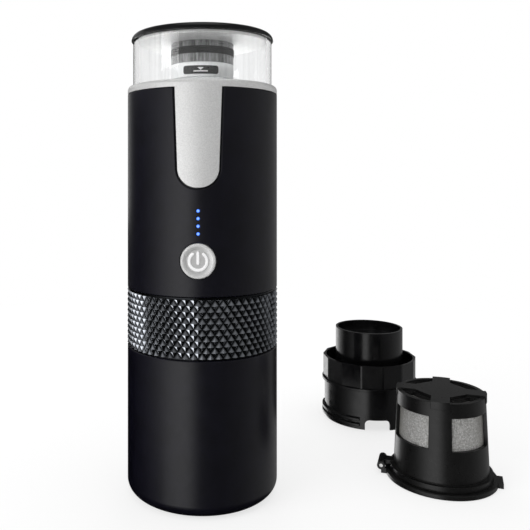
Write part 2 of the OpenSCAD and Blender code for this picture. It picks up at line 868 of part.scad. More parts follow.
// Cover with two ears that screw to the dock's posts
module pump_cover() {
    hole_d = screw_d + 4 * run_gap;
    color([0.6, 0.61, 0.63])
    translate([0, 0, z_cover]) difference() {
        union() {
            cylinder(d = pump_d, h = pump_cover_t);
            for (side = [-1, 1]) translate([side * ear_x, ear_y, 0]) cylinder(r = ear_r, h = pump_cover_t);
            translate([-ear_x, ear_y - ear_r, 0]) cube([2 * ear_x, 2 * ear_r, pump_cover_t]);
        }
        for (side = [-1, 1]) {
            translate([0, side * pitch_r, pump_cover_t - shaft_foot - gear_end_gap])
                cylinder(r = gear_shaft_r + run_gap, h = pump_cover_t);
            translate([side * ear_x, ear_y, -cut]) cylinder(d = hole_d, h = pump_cover_t + 2 * cut);
        }
        at_pump_screws() translate([0, 0, -cut]) cylinder(d = hole_d, h = pump_cover_t + 2 * cut);
    }
}

// Screw with its head at the origin and its shank along +Z
module screw(shank) {
    socket_r = 0.5;
    difference() {
        union() {
            translate([0, 0, -screw_head_h]) cylinder(d = screw_head_d, h = screw_head_h);
            cylinder(d = screw_d - 2 * run_gap, h = shank);
        }
        translate([0, 0, -screw_head_h - cut]) cylinder(r = socket_r, h = screw_head_h / 2 + cut, $fn = 6);
    }
}

module pump_screws() {
    color([0.5, 0.5, 0.52])
    at_pump_screws() translate([0, 0, z_cover]) screw(pump_cover_t + screw_bite);
}

module mount_screws() {
    color([0.5, 0.5, 0.52])
    for (side = [-1, 1])
        translate([side * ear_x, ear_y, z_pump]) mirror([0, 0, 1]) screw(pump_cover_t + screw_bite);
}

module pump_motor() {
    end_cap_h = 1.2;
    end_cap_w = 1;
    terminal_h = 1.5;
    terminal_w = 2;
    terminal_t = 0.6;
    color([0.66, 0.67, 0.69])
    translate([0, pitch_r, z_motor]) difference() {
        union() {
            cylinder(d = motor_d, h = motor_h - end_cap_h);
            cylinder(d = motor_d - 2 * end_cap_w, h = motor_h);
            translate([0, 0, motor_h]) cylinder(d = motor_d / 4, h = terminal_h);
            for (side = [-1, 1])
                translate([side * motor_d / 4 - terminal_w / 2, -terminal_t / 2, motor_h - cut])
                    cube([terminal_w, terminal_t, terminal_h + cut]);
        }
        translate([0, 0, -cut]) cylinder(r = gear_shaft_r + run_gap, h = motor_grip + cut);
    }
}

// Bent hose: straight, quarter turn upwards, straight
module suction_hose() {
    start = pump_d / 2 + hose_end_gap;
    bend_x = outlet_x - hose_bend;
    color([0.8, 0.8, 0.78])
    difference() {
        suction_path(hose_r, start, bend_x, 0);
        suction_path(hose_bore / 2, start, bend_x, cut);
    }
}

module suction_path(r, start, bend_x, over) {
    top = z_tank - hose_end_gap;
    translate([start - over, 0, port_z]) to_right() cylinder(r = r, h = bend_x - start + over);
    translate([bend_x, 0, port_z + hose_bend]) rotate([90, 0, 0]) rotate([0, 0, -90])
        rotate_extrude(angle = 90) translate([hose_bend, 0]) circle(r);
    translate([outlet_x, 0, port_z + hose_bend]) cylinder(r = r, h = top - port_z - hose_bend + over);
}

// Hose that turns back under the pump to the needle's barb
module pressure_hose() {
    color([0.8, 0.8, 0.78])
    difference() {
        pressure_path(hose_r, 0);
        pressure_path(hose_bore / 2, cut);
    }
}

module pressure_path(r, over) {
    turn_r = (port_z - hub_port_z) / 2;
    turn_x = pump_d / 2 + barb_l;
    pump_end = pump_d / 2 + hose_end_gap;
    hub_end = needle_hub_d / 2 + hose_end_gap;
    translate([-turn_x, 0, port_z]) to_right() cylinder(r = r, h = turn_x - pump_end + over);
    translate([-turn_x, 0, hub_port_z]) to_right() cylinder(r = r, h = turn_x - hub_end + over);
    translate([-turn_x, 0, hub_port_z + turn_r]) rotate([90, 0, 0]) rotate([0, 0, 90])
        rotate_extrude(angle = 180) translate([turn_r, 0]) circle(r);
}

// Power

module at_cells() {
    for (side = [-1, 1]) translate([side * cell_x, -cell_y, z_deck]) children();
}

module battery_tray() {
    bore_r = cell_d / 2 + cell_fit;
    bridge_w = cell_d / 3;
    color([0.22, 0.22, 0.24])
    difference() {
        intersection() {
            union() {
                at_cells() cylinder(r = bore_r + tray_wall, h = tray_h);
                translate([-cell_x, -cell_y - bridge_w, z_deck]) cube([2 * cell_x, bridge_w, tray_h / 2]);
            }
            cylinder(r = inner_r, h = z_collar);
        }
        at_cells() translate([0, 0, tray_floor]) cylinder(r = bore_r, h = tray_h);
    }
}

module battery_cells() {
    cap_h = 1;
    color([0.2, 0.45, 0.6])
    at_cells() translate([0, 0, tray_floor]) {
        cylinder(d = cell_d, h = cell_h - cap_h);
        cylinder(d = cell_d / 3, h = cell_h);
    }
}

module control_board() {
    color([0.1, 0.35, 0.2])
    translate([-board_w / 2, -board_y, z_deck]) cube([board_w, board_t, board_h]);
}

module power_switch() {
    body_w = 6;
    plunger_d = 3;
    plunger_l = 0.8;
    color([0.15, 0.15, 0.15]) {
        translate([-body_w / 2, -board_y - switch_reach + plunger_l, button_z - body_w / 2])
            cube([body_w, switch_reach - plunger_l, body_w]);
        translate([0, -board_y, button_z]) to_front() cylinder(d = plunger_d, h = switch_reach);
    }
}

module charge_lights() {
    chip_w = 2;
    color([0.3, 0.5, 1])
    for (i = [0:led_count - 1])
        translate([-chip_w / 2, -board_y - led_chip_t, led_z + i * led_pitch - chip_w / 2])
            cube([chip_w, led_chip_t, chip_w]);
}

// Bar behind the shell with one light pipe for each window
module light_guide() {
    bar_w = 4;
    bar_y = shell_ir - guide_gap - guide_bar_t;
    pipe_y = board_y + led_chip_t + guide_gap;
    color([0.75, 0.85, 1])
    intersection() {
        union() {
            translate([-bar_w / 2, -bar_y - guide_bar_t, led_z - led_pitch / 2])
                cube([bar_w, guide_bar_t, led_count * led_pitch]);
            for (i = [0:led_count - 1])
                translate([0, -pipe_y, led_z + i * led_pitch])
                    to_front() cylinder(d = led_d, h = body_r - pipe_y);
        }
        cylinder(r = body_r - led_fit, h = z_collar);
    }
}

module charge_board() {
    overhang = 3;
    half_w = socket_w / 2 + overhang;
    // The front corners just clear the round wall
    front_y = sqrt(inner_r * inner_r - half_w * half_w) - body_fit;
    color([0.1, 0.35, 0.2])
    translate([-half_w, front_y - charge_board_l, z_deck + socket_up])
        cube([2 * half_w, charge_board_l, board_t]);
}

// Flat oval charge inlet with its contact tongue
module charge_socket() {
    mouth = socket_l - plug_bite - port_gap;
    corner = socket_h / 2 - 0.05;
    tongue_t = 0.7;
    color([0.72, 0.73, 0.75])
    translate([0, socket_y, socket_mid]) rotate([-90, 0, 0]) {
        difference() {
            linear_extrude(socket_l) round_rect(socket_w, socket_h, corner);
            translate([0, 0, socket_l - mouth]) linear_extrude(mouth + cut)
                round_rect(socket_w - 2 * socket_wall, socket_h - 2 * socket_wall, corner - socket_wall);
        }
        translate([-socket_w / 3, -tongue_t / 2, 0]) cube([2 * socket_w / 3, tongue_t, mouth]);
    }
}

module port_cover() {
    plug_w = socket_w - 2 * socket_wall - 2 * port_gap;
    plug_h = socket_h - 2 * socket_wall - 2 * port_gap;
    plug_r = plug_h / 2 - 0.05;
    plug_l = shell_wall - socket_proud + plug_bite;
    back_r = body_r - port_t;
    color([0.09, 0.09, 0.1]) {
        intersection() {
            tube(body_r, back_r, z_collar);
            translate([-port_w / 2, 0, socket_mid - port_h / 2]) cube([port_w, body_r + cut, port_h]);
        }
        intersection() {
            cylinder(r = back_r + cut, h = z_collar);
            translate([0, body_r, socket_mid]) to_front()
                linear_extrude(plug_l) round_rect(plug_w, plug_h, plug_r);
        }
    }
}

module power_button() {
    front = body_r + button_proud;
    edge = 0.5;
    color([0.8, 0.8, 0.81])
    translate([0, 0, button_z]) to_front() rotate_extrude() difference() {
        union() {
            square([button_r - edge, front]);
            square([button_r, front - edge]);
            translate([button_r - edge, front - edge]) circle(edge);
            square([button_flange_r, button_flange_y]);
        }
        square([button_flange_r + cut, button_flange_y - button_flange_t]);
        polygon([
            [0, front - button_dish], [button_r - button_rim - button_slope, front - button_dish],
            [button_r - button_rim, front], [button_r - button_rim, front + cut], [0, front + cut]
        ]);
    }
    color([0.8, 0.8, 0.81])
    translate([0, -stem_y, button_z]) to_front() cylinder(r = 2, h = button_flange_y - stem_y);
}

// Lid

module lid_cap() {
    r = tank_r + lid_overhang;
    top = lid_edge_h + lid_crown;
    flat_r = r - lid_edge_h;
    steps = 6;
    color([0.05, 0.05, 0.06])
    translate([0, 0, z_lid]) rotate_extrude() difference() {
        union() {
            polygon(concat(
                [[0, 0], [flat_r, 0]],
                [for (i = [steps:-1:0]) [flat_r * i / steps, top - lid_crown * pow(i / steps, 2)]]
            ));
            intersection() {
                translate([flat_r, 0]) circle(lid_edge_h);
                translate([flat_r, 0]) square(lid_edge_h + cut);
            }
        }
        translate([0, top - lid_dish_depth]) square([lid_dish_d / 2, lid_dish_depth + cut]);
    }
}

module lid_pad() {
    color([0.9, 0.9, 0.9])
    translate([0, 0, z_lid - pad_t]) cylinder(r = tank_ir - pad_fit, h = pad_t);
}

module lid_plug() {
    groove = 0.6;
    rib = 1.2;
    hollow_d = plug_d - 2 * plug_wall - 2 * band_t;
    band_z = z_lid - plug_h / 2 - band_h / 2;
    rib_z = [for (i = [1, 2]) z_lid - pad_t - i * rib];
    color([0.55, 0.56, 0.57])
    difference() {
        translate([0, 0, z_lid - plug_h]) cylinder(d = plug_d, h = plug_h - pad_t);
        translate([0, 0, z_lid - plug_h - cut])
            cylinder(d = hollow_d, h = plug_h - pad_t - plug_wall + cut);
        translate([0, 0, band_z]) tube(plug_d, plug_d / 2 - band_t, band_h);
        for (z = rib_z) translate([0, 0, z]) tube(plug_d, plug_d / 2 - groove / 2, groove);
    }
}

module plug_band() {
    proud = 0.2;
    color([0.05, 0.05, 0.05])
    translate([0, 0, z_lid - plug_h / 2 - band_h / 2])
        tube(plug_d / 2 + proud, plug_d / 2 - band_t, band_h);
}

// Clear tube whose lower end marks the highest filling
module level_tube() {
    color([0.85, 0.9, 0.93, 0.4])
    translate([0, 0, z_lid - plug_h - level_h]) difference() {
        cylinder(d = plug_d, h = level_h);
        translate([0, 0, -cut]) cylinder(d = plug_d - 2 * level_wall, h = level_h - level_wall + cut);
    }
}

// Capsule holder, upside down

module at_holder() {
    translate([holder_x, holder_y, 0]) children();
}

module barrel_lugs() {
    first_z = 2;
    left_from = 158;
    right_from = 308;
    left_sweep = 90;
    right_sweep = 74;
    for (i = [0, 1]) translate([0, 0, first_z + i * lug_pitch]) {
        ring_sector(lug_r, barrel_ir + holder_wall / 2, lug_t, left_from, left_sweep);
        ring_sector(lug_r, barrel_ir + holder_wall / 2, lug_t, right_from, right_sweep);
    }
}

module barrel_notch() {
    to_front() linear_extrude(lug_r + cut) {
        translate([0, notch_h / 2]) round_rect(notch_w, notch_h, notch_r);
        translate([-notch_w / 2, -cut]) square([notch_w, notch_h / 2 + cut]);
    }
}

module holder_barrel() {
    color([0.06, 0.06, 0.07])
    at_holder() difference() {
        union() {
            tube(barrel_r, barrel_ir, barrel_h);
            translate([0, 0, barrel_h - cap_floor_t]) tube(barrel_r, neck_r, cap_floor_t);
            translate([0, 0, barrel_h - lug_t]) tube(lug_r, barrel_ir, lug_t);
            barrel_lugs();
        }
        barrel_notch();
    }
}

// Grip wall with flat panels, open trough, and the outlet cylinder in its middle
function panel_turn(i) = cap_phase + 360 * i / cap_panels;

module holder_cap() {
    floor_z = z_outlet - outlet_floor - cap_floor_t;
    panel_r = (cap_r - panel_depth) / cos(180 / cap_panels);
    color([0.06, 0.06, 0.07])
    at_holder() difference() {
        union() {
            translate([0, 0, z_cap]) intersection() {
                linear_extrude(cap_h) polygon([
                    for (i = [0:cap_panels - 1]) panel_r * [cos(panel_turn(i)), sin(panel_turn(i))]
                ]);
                cylinder(r = cap_r, h = cap_h);
            }
            translate([0, 0, z_cap]) cylinder(r = outlet_r, h = z_outlet - z_cap);
            translate([0, 0, z_cap - cap_spigot_h]) cylinder(r = neck_r - body_fit, h = cap_spigot_h + cut);
        }
        translate([0, 0, z_cap + cap_floor_t]) tube(cap_ir, outlet_r, cap_h);
        translate([0, 0, floor_z + cap_floor_t]) cylinder(r = outlet_r - outlet_wall, h = outlet_h);
        translate([0, 0, z_cap - cap_spigot_h - cut])
            cylinder(r = outlet_r - outlet_wall, h = floor_z - z_cap + cap_spigot_h + cut);
        exit_place(floor_z - cut) cylinder(d = exit_d - exit_shoulder, h = cap_floor_t + 2 * cut);
    }
}

// The exit needle stands off the outlet's centre, at the front left
module exit_place(z) {
    translate([-outlet_r / 2, -outlet_r / 4, z]) children();
}

module exit_needle() {
    floor_z = z_outlet - outlet_floor - cap_floor_t;
    collar_t = 1;
    reach = 8;
    tip_h = 3;
    lip = 0.2;
    stem_d = exit_d - exit_shoulder - 2 * run_gap;
    color([0.78, 0.78, 0.8])
    at_holder() exit_place(floor_z) difference() {
        union() {
            translate([0, 0, cap_floor_t]) cylinder(d = exit_d, h = collar_t);
            translate([0, 0, tip_h - reach]) cylinder(d = stem_d, h = reach - tip_h + cap_floor_t + cut);
            translate([0, 0, -reach]) cylinder(d1 = exit_bore + 2 * lip, d2 = stem_d, h = tip_h);
        }
        translate([0, 0, -reach - cut])
            cylinder(d = exit_bore, h = reach + cap_floor_t + collar_t + 2 * cut);
    }
}

// Refillable filter, upside down: the lid lies on the table

module at_filter() {
    translate([filter_x, filter_y, 0]) rotate([0, 0, hinge_turn]) children();
}

// The hinge lies along Y at the end of +X, in the filter's own turn
module at_hinge() {
    translate([hinge_r, 0, hinge_z]) rotate([90, 0, 0]) children();
}

module filter_lid() {
    edge = 0.6;
    tab_w = 9;
    tab_out = 2;
    leaf_l = hinge_l / 4 - filter_gap;
    color([0.07, 0.07, 0.08])
    at_filter() difference() {
        union() {
            rotate_extrude() union() {
                square([flange_r - edge, flange_t]);
                wall_outline(flange_r, 1, 0, flange_t, edge);
            }
            translate([-flange_r - tab_out, -tab_w / 2, 0]) cube([2 * tab_out + 2, tab_w, flange_t]);
            for (side = [-1, 1]) translate([0, side * (hinge_l / 2 - leaf_l / 2), 0]) {
                at_hinge() cylinder(d = knuckle_d, h = leaf_l, center = true);
                translate([flange_r - 2, -leaf_l / 2, 0]) cube([hinge_r - flange_r + 2, leaf_l, flange_t]);
            }
        }
        at_hinge() cylinder(r = pin_d / 2 + run_gap, h = hinge_l + 2 * cut, center = true);
    }
}

module filter_seal() {
    seal_h = 1.6;
    seal_r = basket_d / 2 - basket_wall - mesh_t - 2 * filter_gap - mesh_t;
    color([0.6, 0.6, 0.6])
    at_filter() translate([0, 0, flange_t]) tube(seal_r, seal_r - 1.5, seal_h);
}

module hinge_pin() {
    color([0.7, 0.7, 0.72])
    at_filter() at_hinge() cylinder(d = pin_d, h = hinge_l, center = true);
}

function basket_r(z) =
    basket_d / 2 + (basket_end_d - basket_d) / 2 * (z - flange_t) / (filter_h - flange_t);

// Cone that follows the basket's wall, shrunk by inset, between two heights
module basket_cone(inset, z0, z1) {
    translate([0, 0, z0]) cylinder(r1 = basket_r(z0) - inset, r2 = basket_r(z1) - inset, h = z1 - z0);
}

module basket_hinge_leaf() {
    leaf_l = hinge_l / 2 - filter_gap;
    difference() {
        union() {
            at_hinge() cylinder(d = knuckle_d, h = leaf_l, center = true);
            translate([rim_r - 2, -leaf_l / 2, hinge_z]) cube([hinge_r - rim_r + 2, leaf_l, knuckle_d / 2]);
        }
        at_hinge() cylinder(r = pin_d / 2 + run_gap, h = leaf_l + 2 * cut, center = true);
    }
}

// Four places midway between the arms, for a cut that sweeps by arc
module between_arms(arc) {
    for (turn = [0:90:270]) rotate([0, 0, turn + 45 - arc / 2]) children();
}

// End plate with a raised rim, four slots, and the arms that run over the rim from an eight-sided hub
module basket_spider() {
    end_r = basket_end_d / 2;
    slot_in = 0.6 * end_r;
    slot_rim = 3;
    slot_out = end_r - slot_rim;
    slot_arc = 52;
    slot_land = 0.8;
    rim_rise = 0.7;
    arm_lip = 0.5;
    lip_drop = 2.2;
    arm_r = end_r + arm_lip;
    difference() {
        basket_cone(0, filter_h - plate_t, filter_h);
        between_arms(slot_arc) translate([0, 0, filter_h - plate_t - cut]) intersection() {
            ring_sector(slot_out, slot_in / 2, plate_t + 2 * cut, 0, slot_arc);
            rotate([0, 0, slot_arc / 2]) translate([slot_in, -end_r, 0])
                cube([end_r, 2 * end_r, plate_t + 2 * cut]);
        }
    }
    translate([0, 0, filter_h - cut]) tube(end_r, slot_out + slot_land, rim_rise + cut);
    intersection() {
        union() {
            translate([0, 0, filter_h - cut]) cylinder(r = arm_r, h = arm_h + cut);
            translate([0, 0, filter_h - lip_drop]) tube(arm_r, end_r - basket_wall / 2, lip_drop);
        }
        union() {
            for (turn = [0, 90])
                rotate([0, 0, turn]) translate([-arm_r - cut, -arm_w / 2, 0])
                    cube([2 * arm_r + 2 * cut, arm_w, filter_h + arm_h]);
            rotate([0, 0, 22.5])
                cylinder(r = (slot_in - slot_land) / cos(22.5), h = filter_h + arm_h, $fn = 8);
        }
    }
}

module filter_basket() {
    color([0.07, 0.07, 0.08])
    at_filter() {
        difference() {
            union() {
                basket_cone(0, flange_t, filter_h);
                translate([0, 0, flange_t]) cylinder(r = rim_r, h = rim_h);
            }
            basket_cone(basket_wall, flange_t - cut, filter_h + cut);
            between_arms(window_arc) translate([0, 0, window_z])
                ring_sector(rim_r, rim_r / 2, window_h, 0, window_arc);
        }
        basket_spider();
        basket_hinge_leaf();
    }
}

module filter_mesh() {
    fit = 0.1;
    inset = basket_wall + fit;
    top = filter_h - plate_t - 2 * fit;
    color([0.72, 0.71, 0.68])
    at_filter() difference() {
        basket_cone(inset, rim_top, top);
        basket_cone(inset + mesh_t, rim_top - cut, top - mesh_t);
    }
}

cup_shell();
cup_liner();
brew_dock();
cup_seal();
dock_gasket();
inlet_needle();
grip_ring();
upper_shell();
silver_collar();
water_tank();
tank_strainer();
pump_body();
pump_cover();
pump_screws();
mount_screws();
pump_motor();
suction_hose();
pressure_hose();
battery_tray();
battery_cells();
control_board();
power_switch();
charge_lights();
light_guide();
charge_board();
charge_socket();
lid_cap();
lid_pad();
lid_plug();
plug_band();
level_tube();
power_button();
port_cover();
drive_gear();
driven_gear();
holder_barrel();
holder_cap();
exit_needle();
filter_lid();
filter_seal();
hinge_pin();
filter_basket();
filter_mesh();
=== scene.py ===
"""Finishes, small pieces, stage and lights for the portable capsule coffee maker.

Laid out as an add-on and run as a script. Every length is in metres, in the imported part's own
frame: Z is up and is the machine's axis, the front faces -Y and the table is Z = 0.
"""

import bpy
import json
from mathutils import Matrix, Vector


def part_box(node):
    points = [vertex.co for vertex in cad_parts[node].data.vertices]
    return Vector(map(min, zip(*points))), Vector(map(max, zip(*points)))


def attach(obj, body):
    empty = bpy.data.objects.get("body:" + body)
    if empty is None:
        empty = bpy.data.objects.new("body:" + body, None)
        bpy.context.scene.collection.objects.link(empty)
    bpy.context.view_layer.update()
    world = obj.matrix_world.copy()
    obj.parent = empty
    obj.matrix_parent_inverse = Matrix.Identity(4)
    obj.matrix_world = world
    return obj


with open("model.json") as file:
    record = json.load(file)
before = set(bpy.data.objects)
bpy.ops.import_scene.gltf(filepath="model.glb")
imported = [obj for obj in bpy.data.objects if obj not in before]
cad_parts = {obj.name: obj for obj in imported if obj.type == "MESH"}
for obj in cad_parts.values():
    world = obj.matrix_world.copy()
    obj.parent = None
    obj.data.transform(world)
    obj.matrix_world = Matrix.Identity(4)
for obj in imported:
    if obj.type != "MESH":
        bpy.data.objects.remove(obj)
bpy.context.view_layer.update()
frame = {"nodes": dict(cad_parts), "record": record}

import json
import math

import bmesh
import bpy
from bpy.props import FloatProperty, FloatVectorProperty, PointerProperty
from mathutils import Vector

bl_info = {
    "name": "Portable capsule coffee maker",
    "version": (1, 0, 0),
    "blender": (4, 5, 0),
    "location": "3D View > Sidebar > Coffee maker",
    "description": "Dresses the packed coffee maker and sets up its stage",
    "category": "Object",
}

MM = 0.001
UNDO = {"REGISTER", "UNDO"}
NODES = frame["nodes"]
SLOT_OF = {part["node"]: part["material_slot"] for part in frame["record"]["subparts"]}


def middle(node):
    """Centre of a node's box."""
    low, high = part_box(node)
    return (Vector(low) + Vector(high)) / 2


def radius_of(node):
    """Half of a round node's width."""
    low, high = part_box(node)
    return (high[0] - low[0]) / 2


TUBE = middle("level_tube")
TUBE_R = radius_of("level_tube")


# Settings


class MakerFinishes(bpy.types.PropertyGroup):
    """Colours of the finishes."""

    satin: FloatVectorProperty(
        name="Satin black", description="Painted shells", subtype="COLOR",
        default=(0.0028, 0.0026, 0.0064))
    raw: FloatVectorProperty(
        name="Raw plastic", description="Unpainted inside of the shells", subtype="COLOR",
        default=(0.84, 0.84, 0.82))
    gloss: FloatVectorProperty(
        name="Gloss black", description="Lid and capsule holder", subtype="COLOR",
        default=(0.004, 0.004, 0.0044))
    knurl: FloatVectorProperty(
        name="Knurl black", description="Black chrome of the grip ring", subtype="COLOR",
        default=(0.34, 0.358, 0.39))
    basket: FloatVectorProperty(
        name="Filter black", description="Moulded refillable filter", subtype="COLOR",
        default=(0.005, 0.005, 0.005))
    inner_dark: FloatVectorProperty(
        name="Inner dark", description="Moulded pieces inside", subtype="COLOR",
        default=(0.022, 0.022, 0.024))
    silver: FloatVectorProperty(
        name="Silver paint", description="Collar, tongue and button", subtype="COLOR",
        default=(0.84, 0.84, 0.835))
    clear: FloatVectorProperty(
        name="Clear plastic", description="Water tank", subtype="COLOR",
        default=(0.995, 0.998, 1.0))
    frost: FloatVectorProperty(
        name="Frosted plastic", description="Level tube", subtype="COLOR",
        default=(0.93, 0.94, 0.94))
    white: FloatVectorProperty(
        name="White silicone", description="Seal pad of the lid", subtype="COLOR",
        default=(0.92, 0.92, 0.91))
    grey: FloatVectorProperty(
        name="Grey silicone", description="Hoses and gaskets", subtype="COLOR",
        default=(0.34, 0.34, 0.34))
    red: FloatVectorProperty(
        name="Red silicone", description="Seal between machine and cup", subtype="COLOR",
        default=(0.42, 0.06, 0.03))
    rubber: FloatVectorProperty(
        name="Black rubber", description="Plug band and port cover", subtype="COLOR",
        default=(0.007, 0.007, 0.007))
    smoke: FloatVectorProperty(
        name="Smoky grey", description="Plug of the lid", subtype="COLOR",
        default=(0.15, 0.153, 0.153))
    steel: FloatVectorProperty(
        name="Steel", description="Needles, pins, gears and motor", subtype="COLOR",
        default=(0.60, 0.60, 0.59))
    cast: FloatVectorProperty(
        name="Cast alloy", description="Pump body and cover", subtype="COLOR",
        default=(0.42, 0.42, 0.43))
    wrap: FloatVectorProperty(
        name="Cell wrap", description="Sleeves of the battery cells", subtype="COLOR",
        default=(0.04, 0.16, 0.30))
    board: FloatVectorProperty(
        name="Circuit board", description="Both boards", subtype="COLOR",
        default=(0.012, 0.09, 0.035))
    light: FloatVectorProperty(
        name="Light", description="Charge lights", subtype="COLOR", default=(0.02, 0.16, 1.0))


class MakerSizes(bpy.types.PropertyGroup):
    """Sizes of the small pieces made here."""

    sign_r: FloatProperty(
        name="Sign radius", description="Middle of the power sign's ring", unit="LENGTH",
        default=3.88 * MM)
    sign_stroke: FloatProperty(
        name="Sign stroke", description="Width of the sign's lines", unit="LENGTH",
        default=1.29 * MM)
    sign_gap: FloatProperty(
        name="Sign gap", description="Half the opening at the top of the ring", subtype="ANGLE",
        default=math.radians(37))
    sign_rise: FloatProperty(
        name="Sign height", description="How far the sign stands out of the dish", unit="LENGTH",
        default=0.34 * MM)
    bar_up: FloatProperty(
        name="Bar top", description="Upper end of the sign's bar over its centre", unit="LENGTH",
        default=4.3 * MM)
    bar_down: FloatProperty(
        name="Bar foot", description="Lower end of the sign's bar under its centre",
        unit="LENGTH", default=1.6 * MM)
    plate_w: FloatProperty(
        name="Plate width", description="Width of the dark plate on the level tube",
        unit="LENGTH", default=16.6 * MM)
    plate_h: FloatProperty(
        name="Plate height", description="Height of that plate", unit="LENGTH",
        default=3.8 * MM)
    plate_t: FloatProperty(
        name="Plate thickness", description="Thickness of that plate", unit="LENGTH",
        default=0.4 * MM)
    mark_w: FloatProperty(
        name="Mark width", description="Width of the level mark on the plate", unit="LENGTH",
        default=6.6 * MM)
    mark_h: FloatProperty(
        name="Mark height", description="Height of that mark", unit="LENGTH", default=2.0 * MM)
    window_z: FloatProperty(
        name="Window foot", description="Height of the filter's windows over the table",
        unit="LENGTH", default=20.5 * MM)
    window_h: FloatProperty(
        name="Window height", description="Height of those windows", unit="LENGTH",
        default=15.5 * MM)
    window_reach: FloatProperty(
        name="Window reach", description="How far each window reaches round the filter",
        subtype="ANGLE", default=math.radians(62))
    wire_pitch: FloatProperty(
        name="Wire pitch", description="Distance between the filter's wires", unit="LENGTH",
        default=0.5 * MM)
    wire_r: FloatProperty(
        name="Wire radius", description="Radius of the filter's wires", unit="LENGTH",
        default=0.09 * MM)


class MakerStage(bpy.types.PropertyGroup):
    """Camera, lamps and tent."""

    distance: FloatProperty(
        name="Distance", description="From the machine's axis to the camera", unit="LENGTH",
        default=0.33)
    eye_z: FloatProperty(
        name="Eye height", description="Height of the camera over the table", unit="LENGTH",
        default=0.1501)
    turn: FloatProperty(
        name="Turn", description="Direction of the camera from the front, to the right",
        subtype="ANGLE", default=math.radians(3.0))
    lens: FloatProperty(
        name="Lens", description="Focal length in millimetres", unit="CAMERA", default=46.13)
    aside: FloatProperty(
        name="Aside", description="Sideways shift of the picture", default=0.1182)
    drop: FloatProperty(
        name="Drop", description="Vertical shift of the picture", default=-0.1709)
    key: FloatProperty(
        name="Key", description="Soft lamp at the left", subtype="POWER", default=5.0)
    top: FloatProperty(
        name="Top", description="Soft lamp overhead", subtype="POWER", default=3.0)
    back: FloatProperty(
        name="Back", description="Low lamp behind, under the lid", subtype="POWER", default=3.6)
    air: FloatProperty(name="Air", description="Light from all round", default=0.7)
    panel: FloatProperty(
        name="Panel", description="Brightest part of the tent, the soft panel at the left",
        default=1.25)
    shade: FloatProperty(name="Shade", description="Dark parts of the tent", default=0.05)
    fill: FloatProperty(name="Fill", description="Right side of the tent", default=0.26)
    roof: FloatProperty(name="Roof", description="Tent overhead", default=0.3)
    strip: FloatProperty(
        name="Strip", description="Brightest part of the roof, right overhead", default=0.7)
    table: FloatProperty(
        name="Table", description="Bright table that the knurl reflects", default=3.2)
    wall: FloatProperty(
        name="Wall", description="Bright wall that the holder and the filter reflect",
        default=1.7)
    edge: FloatProperty(
        name="Edge", description="Bright wall that edges the upper shell at the left",
        default=0.8)
    tent_r: FloatProperty(
        name="Tent", description="Radius of the tent", unit="LENGTH", default=1.6)
    floor_r: FloatProperty(
        name="Floor", description="Radius of the floor", unit="LENGTH", default=4.0)


# Finishes


def shade(colour, factor):
    """The colour, lighter or darker."""
    return tuple(min(1.0, channel * factor) for channel in colour)


class Nodes:
    """Short ways to build the node tree of a material or a world."""

    def __init__(self, owner):
        owner.use_nodes = True
        self.tree = owner.node_tree
        self.tree.nodes.clear()

    def node(self, kind, **fields):
        """New node with the given fields."""
        made = self.tree.nodes.new(kind)
        for field, value in fields.items():
            setattr(made, field, value)
        return made

    def link(self, start, end):
        """Joins an output to an input."""
        self.tree.links.new(start, end)

    def feed(self, values, sockets):
        """Gives inputs, in order, an output to read or a plain value."""
        for value, socket in zip(values, sockets):
            if isinstance(value, bpy.types.NodeSocket):
                self.link(value, socket)
            else:
                socket.default_value = value

    def maths(self, operation, *values):
        """Result of a sum on outputs and numbers."""
        made = self.node("ShaderNodeMath", operation=operation)
        self.feed(values, made.inputs)
        return made.outputs["Value"]

    def vector_maths(self, operation, *values):
        """Result of a sum on vectors: a number for a length, otherwise a vector."""
        made = self.node("ShaderNodeVectorMath", operation=operation)
        self.feed(values, made.inputs)
        return made.outputs["Value" if operation == "LENGTH" else "Vector"]

    def span(self, factor, low, high, start=0.3, end=0.7):
        """Maps start to end, by default a noise's usual range, onto low to high."""
        scale = self.node("ShaderNodeMapRange")
        self.feed((factor, start, end, low, high), scale.inputs)
        return scale.outputs["Result"]


